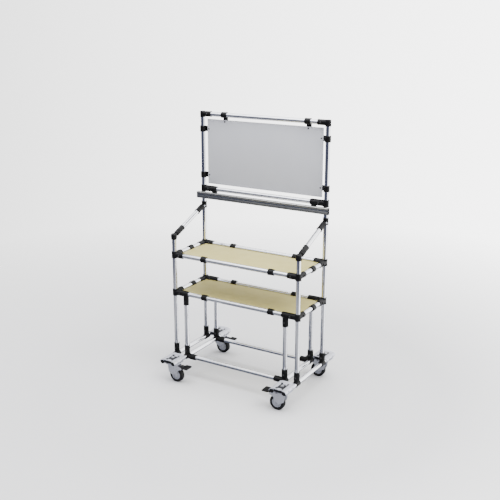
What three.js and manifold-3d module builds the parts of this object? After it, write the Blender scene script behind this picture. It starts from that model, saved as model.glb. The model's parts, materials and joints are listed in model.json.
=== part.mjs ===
// Mobile workstation cart made of round steel pipe and black clamp joints: a base on four braked
// swivel casters, two shelf frames with boards, and a tall rear frame with a panel and a tool rail.
// Millimetres. +X is the cart's right, +Y its rear, +Z up. The origin is on the floor, centred.

import * as THREE from 'three';
import { mergeVertices } from 'three/addons/utils/BufferGeometryUtils.js';
import Module from 'manifold-3d';

const wasm = await Module();
wasm.setup();

// ---------- Driving sizes ----------

// Pipe and the clearances around it
const pipeDiameter = 28;
const pipeWall = 1.5;
const fitGap = 0.3; // between a pipe and the sleeve or clip around it
const pipeEndGap = 1; // between a pipe's end and the pipe that it meets

// Clamp joints: sleeve lengths are measured from the axis of the pipe that the joint holds
const jointWall = 3.7;
const clampHalfLength = 22;
const shelfArmLength = 72;
const doubleArmPast = 22; // the long arms past the axis of the inner leg
const topArmLength = 68;
const crossArmLength = 72;
const footHeight = 77;
const legSocketLength = 75;
const capThickness = 2.5;

// Frame, axis to axis
const frameWidth = 920;
const frameDepth = 355;
const legInset = 86; // from each post to the inner leg and inner base pipe
const baseOverhang = 166; // base pipes past the posts, at the front and at the rear
const lowerShelfHeight = 588;
const upperShelfHeight = 847;
const frontPostHeight = 972;
const bracePivotHeight = 1117;
const panelPipeHeight = 1231;
const topPipeHeight = 1732;

// Braces and their swivel joints
const braceSleeveGap = 10; // from the surface of the pipe that the joint holds to its sleeve
const lowerBraceSleeveLength = 80;
const upperBraceSleeveLength = 64;
const braceNeckRadius = 11;
const braceCapWall = 5.7; // of the domed cap on the front post
const braceCapHalfHeight = 21;
const braceBoreDepth = 10; // of solid sleeve before the brace pipe's bore starts
const drainSlot = { width: 2.4, start: 8, length: 20 }; // lets the air out of the brace pipe

// Boards, and the clips that hold them to the pipes
const shelfThickness = 12;
const boardEdgeGap = 0.5; // between a shelf board and the rings of its clips
const panelThickness = 10;
const panelMargin = 34; // from the pipe axes to the edges of the panel
const clipWidth = 38;
const clipWall = 5.7;
const boardSeatInset = 0.5; // from the surface of a pipe in to the face of the board on its clips
const clipTabThickness = 3;
const shelfClipReach = 44;
const panelClipReach = 54;
const tabEmbed = 0.5; // how far a clip's tab is let into its board
// Clip places: from the left and the right post on the long pipes, and from the middle of the sides
const upperShelfClips = { front: [234, 188], rear: [234, 210], side: 5 };
const lowerShelfClips = { front: [236, 188], rear: [239, 212], side: 21 };
const panelClips = { top: [171, 137], side: [93, 99] }; // side: above the lower pipe, below the top pipe

// Tool rail in front of the rear posts
const railLength = 986;
const railHeight = 42;
const railDepth = 22;
const railDrop = 43; // from the panel's lower pipe down to the middle of the rail
const railStubPast = 10; // the corner's stub past the middle of the rail
const railGrooveHeight = 11.5;
const railGrooveRise = 3.5; // the groove's middle above the rail's middle
const railGrooveDepth = 7;
const railInsertThickness = 3;

// Casters
const wheelDiameter = 100;
const treadWidth = 32;
const tyreThickness = 18;
const treadChamfer = 4;
const discRecess = 5; // how far the disc is dished in beside the tyre
const hubDiameter = 34;
const axleDiameter = 8;
const casterHeadroom = 33; // from the top of the wheel to the top of the caster plate
const casterTrail = 32;
const casterSetback = 106; // from the posts out to the swivel axes, front and rear
const casterPlateThickness = 3;
const casterPlateDepth = 84;
const saddleLength = 130;
const saddleThickness = 2.7;
const boltDiameter = 8;
const boltHeadRadius = 7;
const boltHeadHeight = 5;
const boltPipeGap = 3; // between a bolt and the pipe beside it
const boltSetback = 36; // from the swivel axis, along the pipes
const kingpinDiameter = 12;
const kingpinHeadRadius = 10;
const kingpinHeadHeight = 6;
const raceDiameter = 58;
const raceHeight = 5.5;
const crownThickness = 3.5;
const forkWall = 3;
const wheelSideGap = 2.5;
const crownFront = 30; // from the swivel axis, on the side away from the wheel
const crownBackGap = 12; // between the crown and the brake pin's axis
const axleEnd = 3; // of the axle past each cheek
const brakeAngle = 63.435; // degrees above level, seen from the axle
const brakePinGap = 12.61; // from the tyre to the brake pin's axis
const brakePinDiameter = 6;
const brakePinEnd = 1;
const pedalSideGap = 1; // between the pedal's arm and the cheeks
const pedalWidth = 64;
const pedalLength = 72; // from the pin's axis
const pedalRise = 15; // of the pad's top over the pin's axis
const pedalThickness = 12;

// ---------- Sizes that follow ----------

const sides = 12; // facets round a pipe
const wheelSides = 20;
const pipeRadius = pipeDiameter / 2;
const boreRadius = pipeRadius + fitGap;
const sleeveRadius = boreRadius + jointWall;
const clipRadius = boreRadius + clipWall;
const boardSeat = pipeRadius - boardSeatInset;
const postX = frameWidth / 2;
const postY = frameDepth / 2;
const legX = postX - legInset;
const doubleArmLength = legInset + doubleArmPast;
const casterHeight = wheelDiameter + casterHeadroom; // to the top of the caster plate
const baseHeight = casterHeight + fitGap + pipeRadius;
const pipeSetback = pipeRadius + pipeEndGap;
const braceSleeveStart = pipeRadius + braceSleeveGap;
const baseHalfLength = postY + baseOverhang;
const casterX = postX - legInset / 2;
const casterY = postY + casterSetback;
const wheelRadius = wheelDiameter / 2;
const plateBottom = casterHeight - casterPlateThickness;
const crownTop = plateBottom - fitGap - raceHeight;
const crownBottom = crownTop - crownThickness;
const cheekInner = treadWidth / 2 + wheelSideGap;
const cheekOuter = cheekInner + forkWall;
const boltX = legInset / 2 - pipeRadius - boltPipeGap - boltDiameter / 2;
const brakeReach = wheelRadius + brakePinGap;
const brakePin = [
  casterTrail + brakeReach * Math.cos(THREE.MathUtils.degToRad(brakeAngle)),
  wheelRadius + brakeReach * Math.sin(THREE.MathUtils.degToRad(brakeAngle)),
];

const steel = { color: 0xd3d7dc, roughness: 0.22, metalness: 1 };
const blackJoint = { color: 0x1d1d20, roughness: 0.45, metalness: 0.3 };
const shelfBoard = { color: 0xcbbf95, roughness: 0.6, metalness: 0 };
const greyPanel = { color: 0xc4c5c8, roughness: 0.5, metalness: 0 };
const aluminium = { color: 0xa9aca6, roughness: 0.35, metalness: 1 };
const slateStrip = { color: 0x4a5058, roughness: 0.55, metalness: 0 };
const zincSteel = { color: 0xb4b7be, roughness: 0.4, metalness: 0.8 };
const wheelRubber = { color: 0x26272a, roughness: 0.75, metalness: 0 };
const pedalPlastic = { color: 0x232325, roughness: 0.6, metalness: 0 };

// ---------- Solids ----------

function solidOf(geometry) {
  const bare = geometry.index ? geometry : geometry.clone();
  bare.deleteAttribute('normal');
  bare.deleteAttribute('uv');
  const merged = mergeVertices(bare, 1e-4);
  const mesh = new wasm.Mesh({
    numProp: 3,
    vertProperties: new Float32Array(merged.attributes.position.array),
    triVerts: new Uint32Array(merged.index.array),
  });
  return new wasm.Manifold(mesh);
}

function geometryOf(solid) {
  const mesh = solid.getMesh();
  const geometry = new THREE.BufferGeometry();
  geometry.setAttribute('position', new THREE.BufferAttribute(mesh.vertProperties, 3));
  geometry.setIndex(new THREE.BufferAttribute(mesh.triVerts, 1));
  return geometry;
}

function joined(solids) {
  return solids.reduce((whole, solid) => whole.add(solid));
}

function cutBy(solid, cutters) {
  return cutters.reduce((rest, cutter) => rest.subtract(cutter), solid);
}

// A round bar between two points, [x, y, z] each.
function rod(from, to, radius, facets = sides) {
  const start = new THREE.Vector3(...from);
  const end = new THREE.Vector3(...to);
  const along = end.clone().sub(start);
  const geometry = new THREE.CylinderGeometry(radius, radius, along.length(), facets);
  const turn = new THREE.Quaternion().setFromUnitVectors(new THREE.Vector3(0, 1, 0), along.normalize());
  geometry.applyQuaternion(turn);
  const middle = start.add(end).multiplyScalar(0.5);
  geometry.translate(middle.x, middle.y, middle.z);
  return solidOf(geometry);
}

// A box between its lowest and highest corners.
function block(low, high) {
  const size = high.map((value, axis) => value - low[axis]);
  const geometry = new THREE.BoxGeometry(...size);
  geometry.translate(...high.map((value, axis) => (value + low[axis]) / 2));
  return solidOf(geometry);
}

// An outline in X and Z, extruded along Y between two values.
function slab(outline, fromY, toY) {
  const shape = outline instanceof THREE.Shape ? outline : new THREE.Shape(outline);
  const geometry = new THREE.ExtrudeGeometry(shape, {
    depth: toY - fromY,
    bevelEnabled: false,
    curveSegments: 4,
  });
  geometry.rotateX(Math.PI / 2);
  geometry.translate(0, toY, 0);
  return solidOf(geometry);
}

function pipe(from, to) {
  const start = new THREE.Vector3(...from);
  const end = new THREE.Vector3(...to);
  const past = end.clone().sub(start).setLength(1);
  const bore = rod(start.clone().sub(past).toArray(), end.clone().add(past).toArray(), pipeRadius - pipeWall);
  return rod(from, to, pipeRadius).subtract(bore);
}

// The bore that a pipe needs in a joint, longer than the sleeve at the end called to.
function boreFor(from, to) {
  const start = new THREE.Vector3(...from);
  const end = new THREE.Vector3(...to);
  const past = end.clone().sub(start).setLength(2);
  return rod(from, end.add(past).toArray(), boreRadius);
}

// A joint of several sleeves, each [from, to], that share one casting.
function clampJoint(sleeves, bores) {
  const body = joined(sleeves.map(([from, to]) => rod(from, to, sleeveRadius)));
  return cutBy(body, bores.map(([from, to]) => boreFor(from, to)));
}

function node(name, solid, finish) {
  const mesh = new THREE.Mesh(geometryOf(solid), new THREE.MeshStandardMaterial(finish));
  mesh.name = name;
  return mesh;
}

const leftRight = [['left', -1], ['right', 1]];
const frontRear = [['front', -1], ['rear', 1]];

// ---------- Base, posts and legs ----------

// A pipe that stands on a base pipe, with the foot joint that holds it there.
function standingPipe(x, y, topHeight, crossArm) {
  const foot = [x, y, baseHeight];
  const sleeves = [
    rod(foot, [x, y, baseHeight + footHeight], sleeveRadius),
    rod([x, y - clampHalfLength, baseHeight], [x, y + clampHalfLength, baseHeight], sleeveRadius),
  ];
  const cutters = [
    rod([x, y - baseHalfLength, baseHeight], [x, y + baseHalfLength, baseHeight], boreRadius),
    rod(foot, [x, y, topHeight + 1], pipeRadius - pipeWall),
  ];
  if (crossArm) {
    const armEnd = [x - Math.sign(x) * crossArmLength, y, baseHeight];
    sleeves.push(rod(foot, armEnd, sleeveRadius));
    cutters.push(boreFor(foot, armEnd));
  }
  const upright = rod([x, y, baseHeight + pipeSetback], [x, y, topHeight], pipeRadius);
  return cutBy(joined([upright, ...sleeves]), cutters);
}

function makeBase() {
  const base = new THREE.Group();
  for (const [side, sign] of leftRight) {
    for (const [place, x] of [['outer', postX], ['inner', legX]]) {
      const ends = [-baseHalfLength, baseHalfLength].map((y) => [sign * x, y, baseHeight]);
      base.add(node(`base_pipe_${place}_${side}`, pipe(...ends), steel));
    }
  }
  for (const [place, sign] of frontRear) {
    const ends = [-1, 1].map((end) => [end * (legX - pipeSetback), sign * postY, baseHeight]);
    base.add(node(`base_cross_pipe_${place}`, pipe(...ends), steel));
  }
  return base;
}

function makeUprights() {
  const uprights = new THREE.Group();
  const tops = { front: frontPostHeight + pipeRadius, rear: topPipeHeight + pipeRadius };
  const legTop = lowerShelfHeight - pipeSetback;
  for (const [side, x] of leftRight) {
    for (const [place, y] of frontRear) {
      const post = standingPipe(x * postX, y * postY, tops[place], false);
      const leg = standingPipe(x * legX, y * postY, legTop, true);
      uprights.add(node(`post_${place}_${side}`, post, steel));
      uprights.add(node(`leg_${place}_${side}`, leg, steel));
    }
  }
  return uprights;
}

// ---------- Shelf frames and boards ----------

// A corner joint round a post, with an arm along X and one along Y, and a socket for the leg below.
function shelfCorner(x, y, height, armLength, withLegSocket) {
  const centre = [x, y, height];
  const armX = [x - Math.sign(x) * armLength, y, height];
  const armY = [x, y - Math.sign(y) * shelfArmLength, height];
  const post = [[x, y, height - clampHalfLength], [x, y, height + clampHalfLength]];
  const sleeves = [post, [centre, armX], [centre, armY]];
  const bores = [...sleeves, [post[1], post[0]]];
  if (withLegSocket) {
    const legAxis = Math.sign(x) * legX;
    const socket = [[legAxis, y, height], [legAxis, y, height - legSocketLength]];
    sleeves.push(socket);
    bores.push(socket);
  }
  return clampJoint(sleeves, bores);
}

// A clip: a ring round a pipe at centre along axis, and a flat tab that runs inward under the board.
// inward points from the pipe to the board, and below from the board to the tab's side.
function clip(centre, axis, inward, below, reach) {
  const at = new THREE.Vector3(...centre);
  const along = new THREE.Vector3(...axis).multiplyScalar(clipWidth / 2);
  const ring = rod(at.clone().sub(along).toArray(), at.clone().add(along).toArray(), clipRadius);
  const toBoard = new THREE.Vector3(...inward);
  const toTab = new THREE.Vector3(...below);
  const outer = at.clone().addScaledVector(toTab, boardSeat + clipTabThickness).sub(along);
  const inner = at.clone().addScaledVector(toTab, boardSeat - tabEmbed);
  inner.add(along).addScaledVector(toBoard, reach);
  const corners = [outer.toArray(), inner.toArray()];
  const low = corners[0].map((value, k) => Math.min(value, corners[1][k]));
  const high = corners[0].map((value, k) => Math.max(value, corners[1][k]));
  const past = 1.2; // the bore runs a fifth further than the ring at each end
  const bore = rod(
    at.clone().addScaledVector(along, -past).toArray(),
    at.clone().addScaledVector(along, past).toArray(),
    boreRadius,
  );
  return ring.add(block(low, high)).subtract(bore);
}

function shelfBoardSolid(height, clips) {
  const halfWidth = postX - clipRadius - boardEdgeGap;
  const halfDepth = postY - clipRadius - boardEdgeGap;
  const bottom = height - boardSeat;
  const board = block([-halfWidth, -halfDepth, bottom], [halfWidth, halfDepth, bottom + shelfThickness]);
  const down = [0, 0, -1];
  const parts = [board];
  for (const [place, y] of frontRear) {
    const [fromLeft, fromRight] = clips[place];
    for (const x of [fromLeft - postX, postX - fromRight]) {
      parts.push(clip([x, y * postY, height], [1, 0, 0], [0, -y, 0], down, shelfClipReach));
    }
  }
  for (const [, x] of leftRight) {
    parts.push(clip([x * postX, clips.side, height], [0, 1, 0], [-x, 0, 0], down, shelfClipReach));
  }
  return joined(parts);
}

function makeShelf(name, height, armLength, withLegSocket, clips) {
  const shelf = new THREE.Group();
  for (const [place, y] of frontRear) {
    const ends = [-1, 1].map((end) => [end * (postX - pipeSetback), y * postY, height]);
    shelf.add(node(`${name}_pipe_${place}`, pipe(...ends), steel));
  }
  for (const [side, x] of leftRight) {
    const ends = [-1, 1].map((end) => [x * postX, end * (postY - pipeSetback), height]);
    shelf.add(node(`${name}_pipe_${side}`, pipe(...ends), steel));
    for (const [place, y] of frontRear) {
      const corner = shelfCorner(x * postX, y * postY, height, armLength, withLegSocket);
      shelf.add(node(`${name}_corner_${place}_${side}`, corner, blackJoint));
    }
  }
  shelf.add(node(`${name}_board`, shelfBoardSolid(height, clips), shelfBoard));
  return shelf;
}

// ---------- Braces ----------

// A slanted pipe from the top of a front post to a rear post, with a swivel joint at each end.
function makeBrace(side, sign) {
  const x = sign * postX;
  const low = new THREE.Vector3(x, -postY, frontPostHeight);
  const high = new THREE.Vector3(x, postY, bracePivotHeight);
  const along = high.clone().sub(low).normalize();
  const span = high.distanceTo(low);
  const sleeveEnd = span - braceSleeveStart;
  const onAxis = (distance) => low.clone().addScaledVector(along, distance).toArray();
  const capEnds = [-braceCapHalfHeight, braceCapHalfHeight].map((z) => [x, -postY, frontPostHeight + z]);
  const capBore = [x, -postY, frontPostHeight + pipeRadius + pipeEndGap];
  const upperCollar = [-clampHalfLength, clampHalfLength].map((z) => [x, postY, bracePivotHeight + z]);
  const parts = [
    rod(...capEnds, boreRadius + braceCapWall),
    rod(...upperCollar, sleeveRadius),
    rod(onAxis(pipeRadius), onAxis(span - pipeRadius), braceNeckRadius),
    rod(onAxis(braceSleeveStart), onAxis(braceSleeveStart + lowerBraceSleeveLength), sleeveRadius),
    rod(onAxis(sleeveEnd), onAxis(sleeveEnd - upperBraceSleeveLength), sleeveRadius),
    rod(onAxis(braceSleeveStart + 1), onAxis(sleeveEnd - 1), pipeRadius),
  ];
  const boreStart = onAxis(braceSleeveStart + braceBoreDepth);
  const boreEnd = onAxis(sleeveEnd - braceBoreDepth);
  const slotStart = boreStart[1] + drainSlot.start;
  const slot = block(
    [x - drainSlot.width / 2, slotStart, boreStart[2] - 2 * sleeveRadius],
    [x + drainSlot.width / 2, slotStart + drainSlot.length, boreStart[2] + drainSlot.start],
  );
  const solid = cutBy(joined(parts), [
    rod(boreStart, boreEnd, pipeRadius - pipeWall),
    slot,
    boreFor(capBore, capEnds[0]),
    boreFor(...upperCollar),
    boreFor(upperCollar[1], upperCollar[0]),
  ]);
  return node(`brace_${side}`, solid, blackJoint);
}

// ---------- Panel frame and tool rail ----------

function topCorner(x) {
  const armEnd = [x - Math.sign(x) * topArmLength, postY, topPipeHeight];
  const bottom = [x, postY, topPipeHeight - clampHalfLength];
  const postEnd = [x, postY, topPipeHeight + pipeRadius + pipeEndGap];
  const cap = [x, postY, postEnd[2] + capThickness];
  const body = rod(bottom, cap, sleeveRadius).add(rod([x, postY, topPipeHeight], armEnd, sleeveRadius));
  return cutBy(body, [boreFor(postEnd, bottom), boreFor([x, postY, topPipeHeight], armEnd)]);
}

// The panel's lower corner: a long arm on the panel pipe, with a stub down to the tool rail.
function panelCorner(x) {
  const sign = Math.sign(x);
  const centre = [x, postY, panelPipeHeight];
  const armEnd = [x - sign * doubleArmLength, postY, panelPipeHeight];
  const post = [-clampHalfLength, clampHalfLength].map((z) => [x, postY, panelPipeHeight + z]);
  const stub = [
    [sign * legX, postY, panelPipeHeight],
    [sign * legX, postY, panelPipeHeight - railDrop - railStubPast],
  ];
  return clampJoint([post, [centre, armEnd], stub], [post, [post[1], post[0]], [centre, armEnd]]);
}

function panelBoardSolid() {
  const halfWidth = postX - panelMargin;
  const back = postY + boardSeat;
  const low = [-halfWidth, back - panelThickness, panelPipeHeight + panelMargin];
  const high = [halfWidth, back, topPipeHeight - panelMargin];
  const behind = [0, 1, 0];
  const parts = [block(low, high)];
  const [fromLeft, fromRight] = panelClips.top;
  for (const x of [fromLeft - postX, postX - fromRight]) {
    parts.push(clip([x, postY, topPipeHeight], [1, 0, 0], [0, 0, -1], behind, panelClipReach));
  }
  const [aboveLower, belowTop] = panelClips.side;
  for (const [, x] of leftRight) {
    for (const z of [panelPipeHeight + aboveLower, topPipeHeight - belowTop]) {
      parts.push(clip([x * postX, postY, z], [0, 0, 1], [-x, 0, 0], behind, panelClipReach));
    }
  }
  return joined(parts);
}

// The rail's section in Y and Z has a groove in its front face for a dark strip.
function makeRail() {
  const middle = panelPipeHeight - railDrop;
  const back = postY - sleeveRadius - fitGap;
  const front = back - railDepth;
  const half = railLength / 2;
  const body = block([-half, front, middle - railHeight / 2], [half, back, middle + railHeight / 2]);
  const grooveLow = middle + railGrooveRise - railGrooveHeight / 2;
  const grooveHigh = grooveLow + railGrooveHeight;
  const groove = block([-half - 1, front - 1, grooveLow], [half + 1, front + railGrooveDepth, grooveHigh]);
  const stripBack = front + railGrooveDepth - fitGap;
  const strip = block(
    [-half, stripBack - railInsertThickness, grooveLow + fitGap],
    [half, stripBack, grooveHigh - fitGap],
  );
  const rail = new THREE.Group();
  rail.add(node('tool_rail', body.subtract(groove), aluminium));
  rail.add(node('tool_rail_strip', strip, slateStrip));
  return rail;
}

function makePanelFrame() {
  const frame = new THREE.Group();
  for (const [name, height] of [['panel_pipe_lower', panelPipeHeight], ['panel_pipe_top', topPipeHeight]]) {
    const ends = [-1, 1].map((end) => [end * (postX - pipeSetback), postY, height]);
    frame.add(node(name, pipe(...ends), steel));
  }
  for (const [side, x] of leftRight) {
    frame.add(node(`panel_corner_${side}`, panelCorner(x * postX), blackJoint));
    frame.add(node(`top_corner_${side}`, topCorner(x * postX), blackJoint));
  }
  frame.add(node('panel_board', panelBoardSolid(), greyPanel));
  return frame;
}

// ---------- Casters, in a frame with the swivel axis on Z and the wheel trailing toward +X ----------

// The saddle over the two base pipes, the caster plate under them, their four bolts and the kingpin.
function casterMountSolid() {
  const halfSpan = legInset / 2;
  const halfLength = saddleLength / 2;
  const outerRadius = boreRadius + saddleThickness;
  const parts = [
    block(
      [-halfSpan, -halfLength, baseHeight + boreRadius],
      [halfSpan, halfLength, baseHeight + outerRadius],
    ),
    block(
      [-halfSpan - pipeRadius, -casterPlateDepth / 2, plateBottom],
      [halfSpan + pipeRadius, casterPlateDepth / 2, casterHeight],
    ),
    rod([0, 0, crownBottom - fitGap - kingpinHeadHeight], [0, 0, crownBottom - fitGap], kingpinHeadRadius),
    rod([0, 0, crownBottom - fitGap - 1], [0, 0, casterHeight - 1], kingpinDiameter / 2),
  ];
  for (const sign of [-1, 1]) {
    const ends = [-halfLength, halfLength].map((y) => [sign * halfSpan, y, baseHeight]);
    const bore = [-halfLength - 1, halfLength + 1].map((y) => [sign * halfSpan, y, baseHeight]);
    const outside = [sign * halfSpan, sign * (halfSpan + outerRadius + 1)];
    const quarter = block(
      [Math.min(...outside), -halfLength, baseHeight],
      [Math.max(...outside), halfLength, baseHeight + outerRadius + 1],
    );
    parts.push(rod(...ends, outerRadius).subtract(rod(...bore, boreRadius)).intersect(quarter));
  }
  for (const x of [-boltX, boltX]) {
    for (const y of [-boltSetback, boltSetback]) {
      const top = baseHeight + outerRadius;
      parts.push(rod([x, y, casterHeight - 1], [x, y, top], boltDiameter / 2, 8));
      parts.push(rod([x, y, top - 1], [x, y, top + boltHeadHeight], boltHeadRadius, 6));
    }
  }
  return joined(parts);
}

// One side of the fork: from the crown down to the axle, with a beak behind that holds the brake.
function forkCheek(fromY, toY) {
  const [pinX, pinZ] = brakePin;
  const axleZ = wheelRadius;
  const outline = new THREE.Shape();
  outline.moveTo(-crownFront, crownTop);
  outline.lineTo(-crownFront + 3, wheelDiameter + 4);
  outline.lineTo(-crownFront + 9, axleZ + 16);
  outline.lineTo(casterTrail - 18, axleZ - 10);
  outline.quadraticCurveTo(casterTrail, axleZ - 20, casterTrail + 14, axleZ - 6);
  outline.lineTo(casterTrail + 14, axleZ + 20);
  outline.quadraticCurveTo(casterTrail + 18, axleZ + 40, pinX + 16, pinZ - 9);
  outline.lineTo(pinX + 16, pinZ + 6);
  outline.lineTo(pinX - 8, crownTop);
  outline.closePath();
  return slab(outline, fromY, toY);
}

function forkSolid() {
  const raceTop = crownTop + raceHeight;
  const [pinX, pinZ] = brakePin;
  const axle = [-cheekOuter - axleEnd, cheekOuter + axleEnd].map((y) => [casterTrail, y, wheelRadius]);
  const parts = [
    block([-crownFront, -cheekOuter, crownBottom], [pinX - crownBackGap, cheekOuter, crownTop]),
    forkCheek(cheekInner, cheekOuter),
    forkCheek(-cheekOuter, -cheekInner),
    rod([0, 0, crownTop - 1], [0, 0, raceTop], raceDiameter / 2),
    rod(...axle, axleDiameter / 2),
  ];
  const pinHole = [-cheekOuter - 1, cheekOuter + 1].map((y) => [pinX, y, pinZ]);
  return cutBy(joined(parts), [
    rod([0, 0, crownBottom - 1], [0, 0, raceTop + 1], kingpinDiameter / 2 + fitGap),
    rod(...pinHole, brakePinDiameter / 2 + fitGap),
  ]);
}

// A wheel whose facets touch its true circle, one facet flat on the floor.
function wheelSolid() {
  const scale = 1 / Math.cos(Math.PI / wheelSides);
  const half = treadWidth / 2;
  const bore = axleDiameter / 2 + fitGap;
  const rim = wheelRadius - tyreThickness;
  const points = [
    [bore, -half],
    [hubDiameter / 2, -half],
    [rim, -half + discRecess],
    [rim, -half],
    [wheelRadius - treadChamfer, -half],
    [wheelRadius, -half + treadChamfer],
    [wheelRadius, half - treadChamfer],
    [wheelRadius - treadChamfer, half],
    [rim, half],
    [rim, half - discRecess],
    [hubDiameter / 2, half],
    [bore, half],
    [bore, -half],
  ];
  const profile = points.map(([radius, offset]) => new THREE.Vector2(radius * scale, offset));
  const geometry = new THREE.LatheGeometry(profile, wheelSides);
  geometry.rotateY(Math.PI / wheelSides);
  geometry.translate(casterTrail, 0, 0);
  const moved = solidOf(geometry);
  return moved.translate([0, 0, wheelRadius]);
}

// The brake pedal: its pin in the fork, a shoe over the tyre and a wide pad behind the fork.
function pedalSolid() {
  const [x, z] = brakePin;
  const armHalf = cheekInner - pedalSideGap;
  const padStart = x + pedalLength - 40;
  const padLow = z + pedalRise - pedalThickness;
  const arm = [
    [x - 6, z + 5],
    [x + 8, z + pedalRise - 2],
    [padStart + 2, z + pedalRise - 1],
    [padStart + 2, padLow],
    [x + 18, z - 3],
    [x + 13, z - 12],
    [x + 8, z - 15],
    [x + 4, z - 13],
    [x - 6, z - 4],
  ].map(([u, v]) => new THREE.Vector2(u, v));
  const pad = block(
    [padStart, -pedalWidth / 2, padLow],
    [x + pedalLength, pedalWidth / 2, z + pedalRise],
  );
  const pin = [-cheekOuter - brakePinEnd, cheekOuter + brakePinEnd].map((y) => [x, y, z]);
  return joined([slab(arm, -armHalf, armHalf), pad, rod(...pin, brakePinDiameter / 2)]);
}

function makeCasters() {
  const casters = new THREE.Group();
  for (const [side, x] of leftRight) {
    for (const [place, y] of frontRear) {
      const caster = new THREE.Group();
      const name = `${place}_${side}`;
      caster.add(node(`caster_mount_${name}`, casterMountSolid(), zincSteel));
      caster.add(node(`caster_fork_${name}`, forkSolid(), zincSteel));
      caster.add(node(`caster_wheel_${name}`, wheelSolid(), wheelRubber));
      caster.add(node(`brake_pedal_${name}`, pedalSolid(), pedalPlastic));
      caster.position.set(x * casterX, y * casterY, 0);
      caster.rotation.z = x > 0 ? Math.PI : 0; // the wheels trail toward the middle of the cart
      casters.add(caster);
    }
  }
  return casters;
}

// ---------- The cart ----------

const cart = new THREE.Group();
cart.add(
  makeBase(),
  makeUprights(),
  makeShelf('lower_shelf', lowerShelfHeight, doubleArmLength, true, lowerShelfClips),
  makeShelf('upper_shelf', upperShelfHeight, shelfArmLength, false, upperShelfClips),
  makePanelFrame(),
  makeRail(),
  makeCasters(),
);
for (const [side, sign] of leftRight) {
  cart.add(makeBrace(side, sign));
}

export default cart;
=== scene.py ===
"""The looks of a mobile workstation cart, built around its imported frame.

Round steel pipes in black clamp joints carry two shelf boards, a panel and a tool rail, and the base
rolls on four braked swivel casters. Metres, in the frame's own axes: +X right, +Y rear, +Z up.
"""

import json
import logging
import math
from dataclasses import dataclass, field
from enum import Enum
from typing import Iterable, Iterator, Optional, Sequence, Union

import bmesh
import bpy
from mathutils import Matrix, Vector


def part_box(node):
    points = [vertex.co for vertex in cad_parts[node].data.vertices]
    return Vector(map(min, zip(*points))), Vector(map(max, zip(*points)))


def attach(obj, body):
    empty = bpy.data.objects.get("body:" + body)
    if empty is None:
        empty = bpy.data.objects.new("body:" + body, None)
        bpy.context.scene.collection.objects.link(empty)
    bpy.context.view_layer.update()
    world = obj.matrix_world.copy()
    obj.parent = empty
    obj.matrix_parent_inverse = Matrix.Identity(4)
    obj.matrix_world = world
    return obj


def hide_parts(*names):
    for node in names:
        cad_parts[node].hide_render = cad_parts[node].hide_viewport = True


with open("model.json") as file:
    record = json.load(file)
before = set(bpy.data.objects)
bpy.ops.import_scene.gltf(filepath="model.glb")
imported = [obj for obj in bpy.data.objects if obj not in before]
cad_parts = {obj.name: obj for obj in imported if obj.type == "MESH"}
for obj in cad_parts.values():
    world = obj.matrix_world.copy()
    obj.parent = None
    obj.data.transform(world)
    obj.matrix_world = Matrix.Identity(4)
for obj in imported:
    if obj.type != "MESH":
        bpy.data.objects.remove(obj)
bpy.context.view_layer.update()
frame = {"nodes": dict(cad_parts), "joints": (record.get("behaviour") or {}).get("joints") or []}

LOG = logging.getLogger("cart")
MM = 0.001
Mesh = bmesh.types.BMesh
Point = Sequence[float]
Colour = tuple[float, float, float]
Pair = tuple[float, float]
Outline = list[Pair]
SIDES = (("left", -1), ("right", 1))
ENDS = (("front", -1), ("rear", 1))
UP = Vector((0, 0, 1))
RIGHT = Vector((1, 0, 0))
REAR = Vector((0, 1, 0))
SHARP_ANGLE = 32.0  # edges steeper than this many degrees stay crisp
BEVEL_ANGLE = 40.0  # edges steeper than this many degrees are rounded off


class Slot(Enum):
    """The record's material slots."""

    PIPE = "bright_steel_pipe"
    JOINT = "black_joint"
    BOARD = "beige_board"
    PANEL = "grey_panel"
    RAIL = "rail_aluminium"
    STRIP = "slate_strip"
    ZINC = "zinc_steel"
    RUBBER = "wheel_rubber"
    PLASTIC = "black_plastic"


class Axis(Enum):
    """The way that a pipe runs, with the stretch of its brushed grain."""

    X = (0.04, 1.0, 1.0)
    Y = (1.0, 0.04, 1.0)
    Z = (1.0, 1.0, 0.04)


# ---------- Mesh work ----------


def mesh_data(name: str, mesh: Mesh) -> bpy.types.Mesh:
    """Blender's own copy of a mesh, which frees the mesh."""
    data = bpy.data.meshes.new(name)
    mesh.to_mesh(data)
    mesh.free()
    return data


def placed(name: str, data: bpy.types.ID) -> bpy.types.Object:
    """An object in the scene that shows the data."""
    thing = bpy.data.objects.new(name, data)
    bpy.context.scene.collection.objects.link(thing)
    return thing


def spun(profile: Outline, steps: int = 40, closed: bool = False) -> Mesh:
    """Turns a profile about the Z axis.

    Args:
        profile: radius and height of each point.
        steps: faces round the turn.
        closed: whether the last point joins the first, as on a ring.

    Returns:
        The closed mesh.
    """
    mesh = bmesh.new()
    verts = [mesh.verts.new((radius, 0, height)) for radius, height in profile]
    edges = [mesh.edges.new(pair) for pair in zip(verts, verts[1:])]
    if closed:
        edges.append(mesh.edges.new((verts[-1], verts[0])))
    bmesh.ops.spin(
        mesh, geom=verts + edges, cent=(0, 0, 0), axis=(0, 0, 1), angle=math.tau, steps=steps, use_merge=True
    )
    bmesh.ops.remove_doubles(mesh, verts=mesh.verts, dist=1e-7)
    bmesh.ops.recalc_face_normals(mesh, faces=mesh.faces)
    return mesh


def aimed(mesh: Mesh, start: Point, end: Point) -> Mesh:
    """Stands a mesh made up the Z axis at start, pointing to end."""
    direction = Vector(end) - Vector(start)
    turn = UP.rotation_difference(direction).to_matrix().to_4x4()
    mesh.transform(Matrix.Translation(start) @ turn)
    return mesh


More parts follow.
